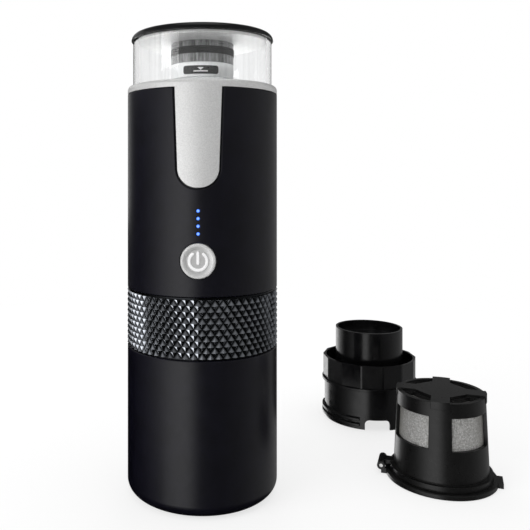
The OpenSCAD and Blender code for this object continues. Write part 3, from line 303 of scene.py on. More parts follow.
class Finish(Nodes):
    """A material on one Principled shader, with its textures in the frame's own metres."""

    def __init__(self, name, colour, roughness, metallic=0.0):
        self.material = bpy.data.materials.new(name)
        super().__init__(self.material)
        self.shader = self.node("ShaderNodeBsdfPrincipled")
        output = self.node("ShaderNodeOutputMaterial")
        self.link(self.shader.outputs["BSDF"], output.inputs["Surface"])
        self.place = self.node("ShaderNodeTexCoord").outputs["Object"]
        self.colour = colour
        self.normal = None
        self.set("Base Color", (*colour, 1.0))
        self.set("Roughness", roughness)
        self.set("Metallic", metallic)

    def set(self, socket, value):
        """Sets a value that is the same all over."""
        self.shader.inputs[socket].default_value = value
        return self

    # Where a point lies

    def stretched(self, stretch):
        """Texture place, drawn out along the axes by the given factors."""
        if stretch is None:
            return self.place
        shape = self.node("ShaderNodeMapping")
        shape.inputs["Scale"].default_value = stretch
        self.link(self.place, shape.inputs["Vector"])
        return shape.outputs["Vector"]

    def axes(self):
        """Place along X, Y and Z."""
        split = self.node("ShaderNodeSeparateXYZ")
        self.link(self.place, split.inputs["Vector"])
        return split.outputs

    def away(self):
        """Distance from the machine's axis."""
        return self.vector_maths("LENGTH", self.stretched((1.0, 1.0, 0.0)))

    def from_line(self, centre):
        """Distance from a line through centre, from front to back."""
        flat = self.stretched((1.0, 0.0, 1.0))
        offset = self.vector_maths("SUBTRACT", flat, (centre.x, 0.0, centre.z))
        return self.vector_maths("LENGTH", offset)

    # Patterns

    def noise(self, size, detail=2.0, stretch=None):
        """Noise whose lumps are about size across."""
        grain = self.node("ShaderNodeTexNoise")
        grain.inputs["Scale"].default_value = 1.0 / size
        grain.inputs["Detail"].default_value = detail
        self.link(self.stretched(stretch), grain.inputs["Vector"])
        return grain.outputs["Fac"]

    def cells(self, size):
        """Outputs of a pattern whose cells are about size across."""
        pattern = self.node("ShaderNodeTexVoronoi")
        pattern.inputs["Scale"].default_value = 1.0 / size
        self.link(self.place, pattern.inputs["Vector"])
        return pattern.outputs

    # Colour and gloss

    def ramp(self, factor, stops):
        """Colours along a factor."""
        band = self.node("ShaderNodeValToRGB")
        points = band.color_ramp.elements
        while len(points) < len(stops):
            points.new(0.5)
        for point, (at, colour) in zip(points, stops):
            point.position = at
            point.color = (*colour, 1.0)
        self.link(factor, band.inputs["Fac"])
        return band.outputs["Color"]

    def blend(self, factor, first, second):
        """Mixes two colours, each plain or an output."""
        mix = self.node("ShaderNodeMix", data_type="RGBA")
        self.link(factor, mix.inputs["Factor"])
        colours = [colour if isinstance(colour, bpy.types.NodeSocket) else (*colour, 1.0)
                   for colour in (first, second)]
        self.feed(colours, (mix.inputs[6], mix.inputs[7]))
        return mix.outputs[2]

    def drift(self, size, dark, light, stretch=None):
        """The base colour, drifting between a darker and a lighter shade."""
        stops = [(0.35, shade(self.colour, dark)), (0.65, shade(self.colour, light))]
        return self.ramp(self.noise(size, 4.0, stretch), stops)

    def paint(self, colour):
        """Takes the base colour from an output."""
        self.link(colour, self.shader.inputs["Base Color"])
        return self

    def tint(self, size, dark, light, stretch=None):
        """Drifting base colour all over."""
        return self.paint(self.drift(size, dark, light, stretch))

    def mottle(self, size, low, high, stretch=None):
        """Uneven gloss: roughness between low and high."""
        gloss = self.span(self.noise(size, 3.0, stretch), low, high)
        self.link(gloss, self.shader.inputs["Roughness"])
        return self

    # Shape of the surface

    def bend(self, normal):
        """Takes the surface's normal from an output."""
        self.normal = normal
        self.link(normal, self.shader.inputs["Normal"])
        return self

    def soft_edges(self, radius):
        """Rounds the look of sharp edges; comes before the other bends."""
        edge = self.node("ShaderNodeBevel", samples=6)
        edge.inputs["Radius"].default_value = radius
        return self.bend(edge.outputs["Normal"])

    def eased(self, share):
        """Leans facets round the machine's axis outwards in looks, so that they seem shallower."""
        out = self.vector_maths("NORMALIZE", self.stretched((1.0, 1.0, 0.0)))
        lean = self.vector_maths("MULTIPLY_ADD", out, (share, share, share), self.normal)
        return self.bend(self.vector_maths("NORMALIZE", lean))

    def relief(self, height, depth, strength):
        """Bump of the given depth from a height pattern."""
        bump = self.node("ShaderNodeBump")
        bump.inputs["Strength"].default_value = strength
        bump.inputs["Distance"].default_value = depth
        self.link(height, bump.inputs["Height"])
        if self.normal is not None:
            self.link(self.normal, bump.inputs["Normal"])
        return self.bend(bump.outputs["Normal"])


def black_satin(colours):
    """Satin paint outside; the inner face round the tank stays raw."""
    wall_r = 33.9 * MM
    raw_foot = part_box("upper_shell")[1][2] - 40 * MM
    made = Finish("black_satin", colours.satin, 0.3).soft_edges(0.6 * MM)
    inside = made.maths("LESS_THAN", made.away(), wall_r)
    over = made.maths("GREATER_THAN", made.axes()["Z"], raw_foot)
    bare = made.maths("MULTIPLY", inside, over)
    made.paint(made.blend(bare, made.drift(9 * MM, 0.85, 1.2), colours.raw))
    made.mottle(2.5 * MM, 0.28, 0.33)
    return made.relief(made.noise(0.35 * MM), 0.012 * MM, 0.5)


def black_gloss(colours):
    """Glossy moulding with slow waves."""
    made = Finish("black_gloss", colours.gloss, 0.2).soft_edges(0.4 * MM)
    made.tint(12 * MM, 0.8, 1.3).mottle(4 * MM, 0.15, 0.26)
    return made.relief(made.noise(5 * MM), 0.02 * MM, 0.4)


def black_knurl(colours):
    """Black chrome on the facets, with painted shade that darkens the grooves to near black."""
    peak_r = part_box("grip_ring")[1][0]
    full_shade_r, chrome_r = peak_r - 1.0 * MM, peak_r - 0.55 * MM
    made = Finish("black_knurl", colours.knurl, 0.13, 1.0).soft_edges(0.08 * MM).eased(0.35)
    chrome = made.drift(4 * MM, 0.85, 1.15)
    # Painted shade: the colour falls to near black deep in the grooves, in place of the shade
    # between the facets
    groove_shade = made.span(made.away(), 1.0, 0.0, full_shade_r, chrome_r)
    made.paint(made.blend(groove_shade, chrome, shade(colours.knurl, 0.08)))
    made.mottle(2 * MM, 0.1, 0.16)
    return made.relief(made.noise(0.6 * MM), 0.01 * MM, 0.4)


def black_filter(colours):
    """Moulding with a fine grain."""
    made = Finish("black_filter", colours.basket, 0.3).soft_edges(0.22 * MM)
    made.tint(6 * MM, 0.9, 1.2).mottle(1.5 * MM, 0.27, 0.34)
    return made.relief(made.noise(0.5 * MM), 0.015 * MM, 0.5)


def dark_inner(colours):
    """Dull moulding."""
    made = Finish("dark_inner", colours.inner_dark, 0.5)
    made.tint(5 * MM, 0.8, 1.25).mottle(1.2 * MM, 0.44, 0.58)
    return made.relief(made.noise(0.4 * MM), 0.02 * MM, 0.6)


def silver_paint(colours):
    """Paint with fine flakes; the button's dish is painted darker than its rim, as painted shade
    in the dish.
    """
    base = colours.silver
    dish_r, rim_r = 5.2 * MM, 6.6 * MM
    made = Finish("silver_paint", base, 0.4, 0.55).soft_edges(0.3 * MM)
    flakes = made.cells(0.32 * MM)["Color"]
    paint = made.ramp(flakes, [(0.1, shade(base, 0.92)), (0.9, shade(base, 1.08))])
    # Painted shade: the button's dish is darker than its raised rim
    dish_shade = made.span(made.from_line(middle("power_button")), 1.0, 0.0, dish_r, rim_r)
    made.paint(made.blend(dish_shade, paint, shade(base, 0.78)))
    made.mottle(0.8 * MM, 0.34, 0.48)
    return made.relief(made.noise(0.22 * MM), 0.01 * MM, 0.5)


def clear_tank(colours):
    """Clear plastic whose colour carries faint upright grey streaks of painted reflection."""
    made = Finish("clear_tank", colours.clear, 0.02)
    made.set("Transmission Weight", 1.0).set("IOR", 1.49)
    # Painted reflection: the faint upright grey streaks in the tint
    made.tint(3 * MM, 0.91, 1.0, (1.5, 1.5, 0.05)).mottle(20 * MM, 0.0, 0.035)
    return made.relief(made.noise(14 * MM, 1.0, (1.0, 1.0, 0.35)), 0.06 * MM, 0.5)


def frosted_clear(colours):
    """Milky plastic that lets some light through."""
    made = Finish("frosted_clear", colours.frost, 0.45)
    made.tint(3 * MM, 0.94, 1.03, (1.0, 1.0, 0.2)).mottle(1.5 * MM, 0.38, 0.52)
    made.set("Transmission Weight", 0.35).set("IOR", 1.45)
    return made.relief(made.noise(0.5 * MM), 0.01 * MM, 0.5)


def white_silicone(colours):
    """Soft white."""
    made = Finish("white_silicone", colours.white, 0.5)
    made.tint(4 * MM, 0.93, 1.04).mottle(1.5 * MM, 0.42, 0.58)
    return made.relief(made.noise(0.6 * MM), 0.02 * MM, 0.5)


def grey_silicone(colours):
    """Soft grey."""
    made = Finish("grey_silicone", colours.grey, 0.55)
    made.tint(4 * MM, 0.85, 1.12).mottle(1.5 * MM, 0.48, 0.62)
    return made.relief(made.noise(0.5 * MM), 0.02 * MM, 0.5)


def red_silicone(colours):
    """Soft red."""
    made = Finish("red_silicone", colours.red, 0.5)
    made.tint(4 * MM, 0.8, 1.15).mottle(1.5 * MM, 0.42, 0.58)
    return made.relief(made.noise(0.5 * MM), 0.02 * MM, 0.5)


def black_rubber(colours):
    """Dull rubber with hardly any shine."""
    made = Finish("black_rubber", colours.rubber, 0.55).set("Specular IOR Level", 0.08)
    made.tint(3 * MM, 0.8, 1.4).mottle(1 * MM, 0.48, 0.64)
    return made.relief(made.noise(0.4 * MM), 0.03 * MM, 0.6)


def grey_plug(colours):
    """Smoky plastic whose colour carries upright light and dark streaks of painted reflection."""
    made = Finish("grey_plug", colours.smoke, 0.28)
    # Painted reflection: the strong upright light and dark streaks in the tint
    made.tint(3 * MM, 0.25, 2.1, (2.6, 2.6, 0.12)).mottle(2 * MM, 0.22, 0.36)
    return made.relief(made.noise(2 * MM, 2.0, (1.0, 1.0, 0.1)), 0.05 * MM, 0.6)


def steel(colours):
    """Turned steel with fine lines round its upright axis."""
    made = Finish("steel", colours.steel, 0.24, 1.0).soft_edges(0.12 * MM)
    made.tint(3 * MM, 0.85, 1.12).mottle(0.5 * MM, 0.18, 0.34, (0.2, 0.2, 3.0))
    return made.relief(made.noise(0.18 * MM, 2.0, (0.15, 0.15, 2.0)), 0.006 * MM, 0.5)


def steel_mesh(colours):
    """Bright wire with dark pinholes."""
    base = shade(colours.steel, 1.4)
    made = Finish("steel_mesh", base, 0.4, 0.15)
    speckle = made.noise(0.8 * MM, 4.0)
    wires = made.ramp(speckle, [(0.38, shade(base, 0.5)), (0.62, shade(base, 1.35))])
    pits = made.span(made.cells(0.3 * MM)["Distance"], 1.0, 0.0, 0.1, 0.3)
    made.paint(made.blend(pits, wires, shade(base, 0.25)))
    made.mottle(0.6 * MM, 0.32, 0.5)
    return made.relief(made.noise(0.08 * MM), 0.004 * MM, 0.5)


def cast_alloy(colours):
    """Cast metal with a rough skin."""
    made = Finish("cast_alloy", colours.cast, 0.42, 0.9)
    made.tint(2.5 * MM, 0.8, 1.15).mottle(0.7 * MM, 0.36, 0.54)
    return made.relief(made.noise(0.3 * MM, 3.0), 0.04 * MM, 0.7)


def cell_wrap(colours):
    """Shrunk sleeve with shallow creases."""
    made = Finish("cell_wrap", colours.wrap, 0.26)
    made.tint(6 * MM, 0.85, 1.15).mottle(3 * MM, 0.2, 0.34)
    return made.relief(made.noise(3 * MM, 2.0, (1.0, 1.0, 0.3)), 0.03 * MM, 0.5)


def circuit_board(colours):
    """Lacquered board with raised tracks."""
    base = colours.board
    made = Finish("circuit_board", base, 0.38)
    tracks = made.node("ShaderNodeTexBrick")
    tracks.inputs["Scale"].default_value = 1.0 / (6.25 * MM)
    for socket, factor in (("Color1", 1.0), ("Color2", 1.35), ("Mortar", 2.6)):
        tracks.inputs[socket].default_value = (*shade(base, factor), 1.0)
    tracks.inputs["Mortar Size"].default_value = 0.03
    made.link(made.place, tracks.inputs["Vector"])
    made.paint(tracks.outputs["Color"]).mottle(1.5 * MM, 0.3, 0.46)
    return made.relief(tracks.outputs["Fac"], 0.02 * MM, 0.4)


def light_blue(colours):
    """Pale core and deep rim in each of the four windows."""
    windows = 4
    core_r, rim_r = 0.2 * MM, 0.7 * MM
    pale = (0.5, 0.76, 1.0)
    made = Finish("light_blue", colours.light, 0.25)
    made.tint(0.9 * MM, 0.6, 1.2).mottle(0.5 * MM, 0.2, 0.32)
    foot, top = (corner[2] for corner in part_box("light_guide"))
    pitch = (top - foot) / windows
    across, _, height = made.axes()
    share = made.maths("FRACT", made.span(height, 0.0, windows, foot, top))
    spot = made.node("ShaderNodeCombineXYZ")
    made.feed((across, made.span(share, -pitch / 2, pitch / 2, 0.0, 1.0)), spot.inputs)
    out = made.vector_maths("LENGTH", spot.outputs["Vector"])
    glow = made.blend(made.span(out, 0.0, 1.0, core_r, rim_r), pale, shade(colours.light, 0.6))
    made.link(glow, made.shader.inputs["Emission Color"])
    return made.set("Emission Strength", 0.78)


def dress(context, finishes):
    """Makes finishes, each named for its slot, and puts them on the nodes of that slot."""
    for make in finishes:
        material = make(context.scene.maker_finishes).material
        for node, slot in SLOT_OF.items():
            if slot == make.__name__:
                cover(NODES[node], material)


def cover(piece, material):
    """Puts a material on all of a piece."""
    if not piece.material_slots:
        piece.data.materials.append(None)
    for slot in piece.material_slots:
        slot.material = material


# Meshes


def add_piece(name, verts, faces, body, slot, smooth=True):
    """New piece on a body, in the plain material that the frame gives its slot."""
    mesh = bpy.data.meshes.new(name)
    mesh.from_pydata([tuple(v) for v in verts], [], faces)
    form = bmesh.new()
    form.from_mesh(mesh)
    bmesh.ops.recalc_face_normals(form, faces=form.faces)
    form.to_mesh(mesh)
    form.free()
    if smooth:
        mesh.shade_smooth()
    piece = bpy.data.objects.new(name, mesh)
    bpy.context.scene.collection.objects.link(piece)
    mesh.materials.append(bpy.data.materials[slot])
    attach(piece, body)


def ring_faces(rings, around, closed):
    """Quads between rings of points that follow each other, closed round or open."""
    faces = []
    for i in range(rings - 1):
        for j in range(around if closed else around - 1):
            a, b = i * around + j, i * around + (j + 1) % around
            faces.append((a, b, b + around, a + around))
    return faces


def tube_faces(count, around):
    """Quads of a tube with that many points in all, and a cap at each end."""
    caps = [tuple(reversed(range(around))), tuple(range(count - around, count))]
    return ring_faces(count // around, around, True) + caps


def stroke(path, half_w, rise, sink, out):
    """Raised line with round ends and a domed back, along a flat path."""
    steps = 6
    # The round ends stop this share of a step short of a point
    blunt = 0.15
    turns = [math.pi / 2 * (1 - (i + blunt) / steps) for i in range(steps)]
    first = (path[1] - path[0]).normalized()
    last = (path[-1] - path[-2]).normalized()
    # Middle, direction and share of the width at each station
    stations = [(path[0] - first * half_w * math.sin(t), first, math.cos(t)) for t in turns]
    for i, point in enumerate(path):
        before, after = path[max(i - 1, 0)], path[min(i + 1, len(path) - 1)]
        stations.append((point, (after - before).normalized(), 1.0))
    stations += [(path[-1] + last * half_w * math.sin(t), last, math.cos(t))
                 for t in reversed(turns)]
    # Share of the half width, and height, at each corner of the domed section
    section = [(-1, -sink), (-1, rise * 0.55), (-0.8, rise * 0.88), (-0.4, rise),
               (0.4, rise), (0.8, rise * 0.88), (1, rise * 0.55), (1, -sink)]
    verts = []
    for point, along, width in stations:
        side = along.cross(out)
        verts += [point + side * half_w * width * s + out * h for s, h in section]
    return verts, tube_faces(len(verts), len(section))


def wire(path, out_of, radius):
    """Wire along a path; out_of gives a direction across the wire at each point."""
    sides = 4
    verts = []
    for i, point in enumerate(path):
        along = (path[min(i + 1, len(path) - 1)] - path[max(i - 1, 0)]).normalized()
        side = along.cross(out_of(point)).normalized()
        out = side.cross(along)
        verts += [point + (side * math.cos(t) + out * math.sin(t)) * radius
                  for t in (2 * math.pi * k / sides for k in range(sides))]
    return verts, tube_faces(len(verts), sides)


def on_tube(turn, off, up):
    """Place by its turn from the level tube's front, distance off it and height on the plate."""
    plate_drop = 0.3 * MM
    r = TUBE_R + off
    return TUBE + Vector((r * math.sin(turn), -r * math.cos(turn), up - plate_drop))


def gather(parts):
    """Joins lists of verts and faces."""
    verts, faces = [], []
    for points, corners in parts:
        start = len(verts)
        verts += points
        faces += [tuple(start + c for c in face) for face in corners]
    return verts, faces


# Operators


class MAKER_OT_shells(bpy.types.Operator):
    """Finish the black and dark moulded pieces"""

    bl_idname = "maker.shells"
    bl_label = "Shells"
    bl_options = UNDO

    def execute(self, context):
        dress(context, (black_satin, black_gloss, black_knurl, black_filter, dark_inner))
        return {"FINISHED"}


class MAKER_OT_metals(bpy.types.Operator):
    """Finish the silver paint, steel and cast pieces"""

    bl_idname = "maker.metals"
    bl_label = "Metals"
    bl_options = UNDO

    def execute(self, context):
        dress(context, (silver_paint, steel, steel_mesh, cast_alloy))
        return {"FINISHED"}


class MAKER_OT_clears(bpy.types.Operator):
    """Finish the clear tank, the level tube, the smoky plug and the lights"""

    bl_idname = "maker.clears"
    bl_label = "Clear pieces"
    bl_options = UNDO

    def execute(self, context):
        dress(context, (clear_tank, frosted_clear, grey_plug, light_blue))
        # Lamps shine through clear plastic
        for node, slot in SLOT_OF.items():
            if slot in ("clear_tank", "frosted_clear"):
                NODES[node].visible_shadow = False
        return {"FINISHED"}


class MAKER_OT_softs(bpy.types.Operator):
    """Finish the silicone and rubber pieces"""

    bl_idname = "maker.softs"
    bl_label = "Soft pieces"
    bl_options = UNDO

    def execute(self, context):
        dress(context, (white_silicone, grey_silicone, red_silicone, black_rubber))
        return {"FINISHED"}


class MAKER_OT_electrics(bpy.types.Operator):
    """Finish the cells and boards"""

    bl_idname = "maker.electrics"
    bl_label = "Electrics"
    bl_options = UNDO

    def execute(self, context):
        dress(context, (cell_wrap, circuit_board))
        return {"FINISHED"}


class MAKER_OT_power_sign(bpy.types.Operator):
    """Raised power sign in the button's dish"""

    bl_idname = "maker.power_sign"
    bl_label = "Power sign"
    bl_options = UNDO

    def execute(self, context):
        size = context.scene.maker_sizes
        dish_depth, sink = 0.5 * MM, 0.1 * MM
        steps = 48
        centre = middle("power_button")
        seat = Vector((centre.x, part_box("power_button")[0][1] + dish_depth, centre.z))
        half = size.sign_stroke / 2
        sweep = 2 * math.pi - 2 * size.sign_gap
        turns = [size.sign_gap + sweep * i / steps for i in range(steps + 1)]
        arc = [seat + Vector((math.sin(t), 0, math.cos(t))) * size.sign_r for t in turns]
        heights = (size.bar_up - half, 0.4 * size.bar_up, -size.bar_down + half)
        bar = [seat + Vector((0, 0, z)) for z in heights]
        out = Vector((0, -1, 0))
        verts, faces = gather(
            [stroke(path, half, size.sign_rise, sink, out) for path in (arc, bar)])
        add_piece("power_sign", verts, faces, "button", "white_silicone")
        return {"FINISHED"}


class MAKER_OT_fill_plate(bpy.types.Operator):
    """Dark plate with round corners on the front of the level tube"""

    bl_idname = "maker.fill_plate"
    bl_label = "Fill plate"
    bl_options = UNDO

    def execute(self, context):
        size = context.scene.maker_sizes
        columns = 40
        corner, sink, bevel = 0.7 * MM, 0.05 * MM, 0.12 * MM
        shoulder = 0.7 * size.plate_t
        half_w = size.plate_w / 2
        verts = []
        for i in range(columns + 1):
            across = half_w * (2 * i / columns - 1)
            half_h = size.plate_h / 2
            into_corner = corner - (half_w - abs(across))
            if into_corner > 0:
                half_h -= corner - math.sqrt(max(0.0, corner ** 2 - into_corner ** 2))
            turn = across / TUBE_R
            side = ((-sink, half_h), (shoulder, half_h), (size.plate_t, half_h - bevel))
            verts += [on_tube(turn, off, -up) for off, up in side]
            verts += [on_tube(turn, off, up) for off, up in reversed(side)]
        faces = tube_faces(len(verts), 2 * len(side))
        add_piece("fill_plate", verts, faces, "lid", "black_rubber", smooth=False)
        return {"FINISHED"}


class MAKER_OT_level_mark(bpy.types.Operator):
    """Level mark on the fill plate: a pointer over a line"""

    bl_idname = "maker.level_mark"
    bl_label = "Level mark"
    bl_options = UNDO

    def execute(self, context):
        size = context.scene.maker_sizes
        half_w, half_h = size.mark_w / 2, size.mark_h / 2
        line_h, pointer_h = 0.3 * size.mark_h, 0.62 * size.mark_h
        pointer_w = 0.45 * half_w
        line = self.block(size, half_w, lambda side: -half_h, line_h - half_h)
        pointer = self.block(
            size, pointer_w, lambda side: half_h - pointer_h * (1 - abs(side)), half_h)
        verts, faces = gather((line, pointer))
        add_piece("level_mark", verts, faces, "lid", "white_silicone", smooth=False)
        return {"FINISHED"}

    @staticmethod
    def block(size, half_w, foot, top):
        """Low block round the plate; foot gives its lower edge, from -1 to 1 across it."""
        columns = 12
        # The lip keeps the pointer's ends from closing to an edge
        sink, rise, lip = 0.05 * MM, 0.08 * MM, 0.01 * MM
        plate_r = TUBE_R + size.plate_t
        verts = []
        for i in range(columns + 1):
            side = 2 * i / columns - 1
            low, high = foot(side), top + lip
            section = ((-sink, low), (rise, low), (rise, high), (-sink, high))
            verts += [on_tube(side * half_w / plate_r, size.plate_t + off, up)
                      for off, up in section]
        return verts, tube_faces(len(verts), len(section))


class MAKER_OT_filter_weave(bpy.types.Operator):
    """Woven wire on the filter's sheet, in the windows and under the end plate"""

    bl_idname = "maker.filter_weave"
    bl_label = "Filter weave"
    bl_options = UNDO

    def execute(self, context):
        size = context.scene.maker_sizes
        low, high = (Vector(corner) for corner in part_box("filter_mesh"))
        axis = (low + high) / 2
        foot_r = radius_of("filter_mesh")
        # The basket's diameters at its foot and its end, and their heights, in millimetres
        foot_d, end_d, foot_z, end_z = 45.3, 41.6, 2.4, 42.0
        taper = (foot_d - end_d) / 2 / (end_z - foot_z)

        def on_cone(turn, z, off):
            r = foot_r - taper * (z - low.z) + off
            return Vector((axis.x + r * math.cos(turn), axis.y + r * math.sin(turn), z))

        end = Vector((axis.x, axis.y, high.z))
        end_r = foot_r - taper * (high.z - low.z)
        parts = self.window_wires(size, axis, foot_r, on_cone)
        parts += self.disc_wires(size, end, end_r - size.wire_pitch)
        verts, faces = gather(parts)
        add_piece("filter_weave", verts, faces, "filter_cup", "steel_mesh")
        return {"FINISHED"}

    @staticmethod
    def window_wires(size, axis, foot_r, on_cone):
        """Upright and level wires over and under each other in the four windows."""
        windows = 4
        pitch, radius = size.wire_pitch, size.wire_r
        hinge = middle("hinge_pin") - axis
        first = math.atan2(hinge.y, hinge.x) + math.pi / windows
        foot, top = size.window_z + radius, size.window_z + size.window_h - radius
        rows = round((top - foot) / pitch)
        reach = size.window_reach - 2 * radius / foot_r
        columns = round(reach * foot_r / pitch)
        heights = [foot + (top - foot) * r / rows for r in range(rows + 1)]

        def away(point):
            return Vector((point.x - axis.x, point.y - axis.y, 0)).normalized()

        parts = []
        for window in range(windows):
            start = first + 2 * math.pi / windows * window - reach / 2
            turns = [start + reach * c / columns for c in range(columns + 1)]
            for c, turn in enumerate(turns):
                path = [on_cone(turn, z, radius if (r + c) % 2 else -radius)
                        for r, z in enumerate(heights)]
                parts.append(wire(path, away, radius))
            for r, z in enumerate(heights):
                path = [on_cone(turn, z, -radius if (r + c) % 2 else radius)
                        for c, turn in enumerate(turns)]
                parts.append(wire(path, away, radius))
        return parts

    @staticmethod
    def disc_wires(size, end, disc_r):
        """Wires both ways on the flat disc under the end plate."""
        least_steps = 2
        pitch, radius = size.wire_pitch, size.wire_r
        swing = 0.9 * radius
        up = Vector((0, 0, 1))
        count = int(disc_r / pitch)
        parts = []
        for i in range(-count, count + 1):
            half = math.sqrt(max(0.0, disc_r ** 2 - (i * pitch) ** 2))
            steps = int(half / pitch)
            if steps < least_steps:
                continue
            for way in (0, 1):
                path = []
                for k in range(-steps, steps + 1):
                    x, y = (k, i) if way == 0 else (i, k)
                    off = swing if (i + k + way) % 2 else -swing
                    path.append(end + Vector((x * pitch, y * pitch, off)))
                parts.append(wire(path, lambda point: up, radius))
        return parts


class MAKER_OT_stage(bpy.types.Operator):
    """Floor, camera, world, tent and lamps"""

    bl_idname = "maker.stage"
    bl_label = "Stage"
    bl_options = UNDO

    # Height of the tent's middle
    tent_z = 0.1
    # Each cloth shows on some nodes alone, as strongly as the stage setting of its name says. The
    # rest is its share of the tent's radius, its edges, each a direction in degrees from the front
    # and the cloth's foot and top in radii, its brightness by direction, and those nodes.
    cloths = (
        ("table", 0.93,
         ((-142, -0.5, -0.3), (-118, -0.6, -0.33), (-105, -0.72, -0.4), (-56, -0.72, -0.45)),
         ((-180, 0.12), (-112, 0.18), (-100, 0.42), (-86, 1.0), (180, 1.0)),
         ("grip_ring",)),
        ("wall", 0.95,
         ((-176, -0.6, -0.2), (-112, -0.6, -0.2)),
         ((-180, 1.0), (-150, 1.0), (-112, 0.1), (180, 0.1)),
         ("holder_barrel", "holder_cap", "filter_basket", "filter_lid")),
        ("edge", 0.95,
         ((-176, -0.05, 0.3), (-125, -0.05, 0.3)),
         ((-180, 1.0), (-160, 1.0), (-140, 0.4), (-125, 0.1), (180, 0.1)),
         ("upper_shell",)),
    )
    # Place, aim and size of each lamp, whose power is the stage setting of its name
    lamps = (
        ("key", (-0.72, -0.55, 0.62), (0.05, 0, 0.1), (0.6, 0.6)),
        ("top", (0.1, 0.1, 1.1), (0.05, 0, 0), (0.9, 0.9)),
        ("back", (0, 0.65, 0.05), (0, 0, 0.212), (0.3, 0.08)),
    )

    def execute(self, context):
        stage = context.scene.maker_stage
        self.add_floor(context, stage)
        self.add_camera(context, stage)
        self.add_world(context, stage)
        self.add_tent(context, stage)
        for cloth in self.cloths:
            self.add_cloth(context, stage, *cloth)
        for lamp in self.lamps:
            self.add_lamp(context, stage, *lamp)
        context.scene.view_settings.view_transform = "Standard"
        return {"FINISHED"}

    @staticmethod
    def seen_rays(made):
        """One for rays that show the background: camera, glossy and transmission."""
        rays = made.node("ShaderNodeLightPath").outputs
        total = rays["Is Camera Ray"]
        for ray in ("Is Glossy Ray", "Is Transmission Ray"):
            total = made.maths("MAXIMUM", total, rays[ray])
        return total

    def add_floor(self, context, stage):
        """Round pale floor that keeps the shadows and fades to plain white away from the part."""
        under = 0.2 * MM
        near, far, least_white = 0.12, 0.5, 0.72
        mesh = bpy.data.meshes.new("floor")
        form = bmesh.new()
        bmesh.ops.create_circle(form, cap_ends=True, segments=96, radius=stage.floor_r)
        form.to_mesh(mesh)
        form.free()
        floor = bpy.data.objects.new("floor", mesh)
        floor.location.z = -under
        floor.visible_glossy = False
        context.scene.collection.objects.link(floor)
        material = bpy.data.materials.new("pale_floor")
        mesh.materials.append(material)
        made = Nodes(material)
        matt = made.node("ShaderNodeBsdfDiffuse")
        matt.inputs["Color"].default_value = (0.9, 0.9, 0.9, 1)
        white = made.node("ShaderNodeEmission")
        away = made.vector_maths("LENGTH", made.node("ShaderNodeTexCoord").outputs["Object"])
        fade = made.span(away, least_white, 1.0, near, far)
        mix = made.node("ShaderNodeMixShader")
        share = made.maths("MULTIPLY", fade, self.seen_rays(made))
        made.feed((share, matt.outputs["BSDF"], white.outputs["Emission"]), mix.inputs)
        output = made.node("ShaderNodeOutputMaterial")
        made.link(mix.outputs["Shader"], output.inputs["Surface"])

    @staticmethod
    def add_camera(context, stage):
        """Camera in front, level, with the picture shifted to frame the part."""
        lens = bpy.data.cameras.new("camera")
        lens.sensor_width = 36.0
        lens.lens = stage.lens
        lens.shift_x = stage.aside
        lens.shift_y = stage.drop
        lens.clip_start = 0.01
        camera = bpy.data.objects.new("camera", lens)
        right, front = math.sin(stage.turn), -math.cos(stage.turn)
        camera.location = (stage.distance * right, stage.distance * front, stage.eye_z)
        camera.rotation_euler = (math.pi / 2, 0, stage.turn)
        context.scene.collection.objects.link(camera)
        context.scene.camera = camera

    def add_world(self, context, stage):
        """Even light from all round, and white where it is seen."""
        world = bpy.data.worlds.new("studio")
        context.scene.world = world
        made = Nodes(world)
        back = made.node("ShaderNodeBackground")
        back.inputs["Color"].default_value = (1, 1, 1, 1)
        level = made.span(self.seen_rays(made), stage.air, 1.0, 0.0, 1.0)
        made.link(level, back.inputs["Strength"])
        output = made.node("ShaderNodeOutputWorld")
        made.link(back.outputs["Background"], output.inputs["Surface"])

    @staticmethod
    def bearings(made):
        """Direction round the tent, in radians from the front, and height in it."""
        x, y, z = made.axes()
        return made.maths("ARCTAN2", x, made.maths("MULTIPLY", y, -1.0)), z

    @staticmethod
    def by_direction(made, turn, levels):
        """Brightness by direction, in degrees from the front."""
        around = made.span(turn, 0.0, 1.0, -math.pi, math.pi)
        return made.ramp(around, [((at + 180) / 360, (level,) * 3) for at, level in levels])

    def hang(self, context, name, mesh, made, colour, strength):
        """Puts up a glowing cloth that only reflections see."""
        cloth = bpy.data.objects.new(name, mesh)
        cloth.location.z = self.tent_z
        for ray in ("camera", "diffuse", "transmission", "volume_scatter", "shadow"):
            setattr(cloth, "visible_" + ray, False)
        context.scene.collection.objects.link(cloth)
        made.link(colour, made.shader.inputs["Emission Color"])
        made.set("Emission Strength", strength).set("Specular IOR Level", 0.0)
        made.material.cycles.emission_sampling = "NONE"
        mesh.materials.append(made.material)
        return cloth

    def add_tent(self, context, stage):
        """Round tent: a graded panel at the left, dim fill at the right, a roof in bands."""
        mesh = bpy.data.meshes.new("tent")
        form = bmesh.new()
        bmesh.ops.create_uvsphere(form, u_segments=64, v_segments=32, radius=stage.tent_r)
        form.to_mesh(mesh)
        form.free()
        mesh.shade_smooth()
        made = Finish("tent_cloth", (0, 0, 0), 1.0)
        turn, height = self.bearings(made)
        dark, panel, fill, high = stage.shade, stage.panel, stage.fill, stage.roof
        colour = self.by_direction(made, turn, (
            (-180, dark), (-118, 0.6 * dark), (-96, 0.04 * panel), (-77, 0.16 * panel),
            (-60, 0.42 * panel), (-44, 0.82 * panel), (-30, panel), (-16, panel),
            (-4, 1.4 * dark), (30, 1.4 * dark), (60, 0.55 * fill), (90, fill), (165, fill),
            (180, dark)))
        roof = self.by_direction(made, turn, (
            (-180, 0.25 * high), (-170, 0.25 * high), (-150, 1.3 * high), (-80, 1.3 * high),
            (-50, high), (110, high), (130, 0.25 * high), (180, 0.25 * high)))
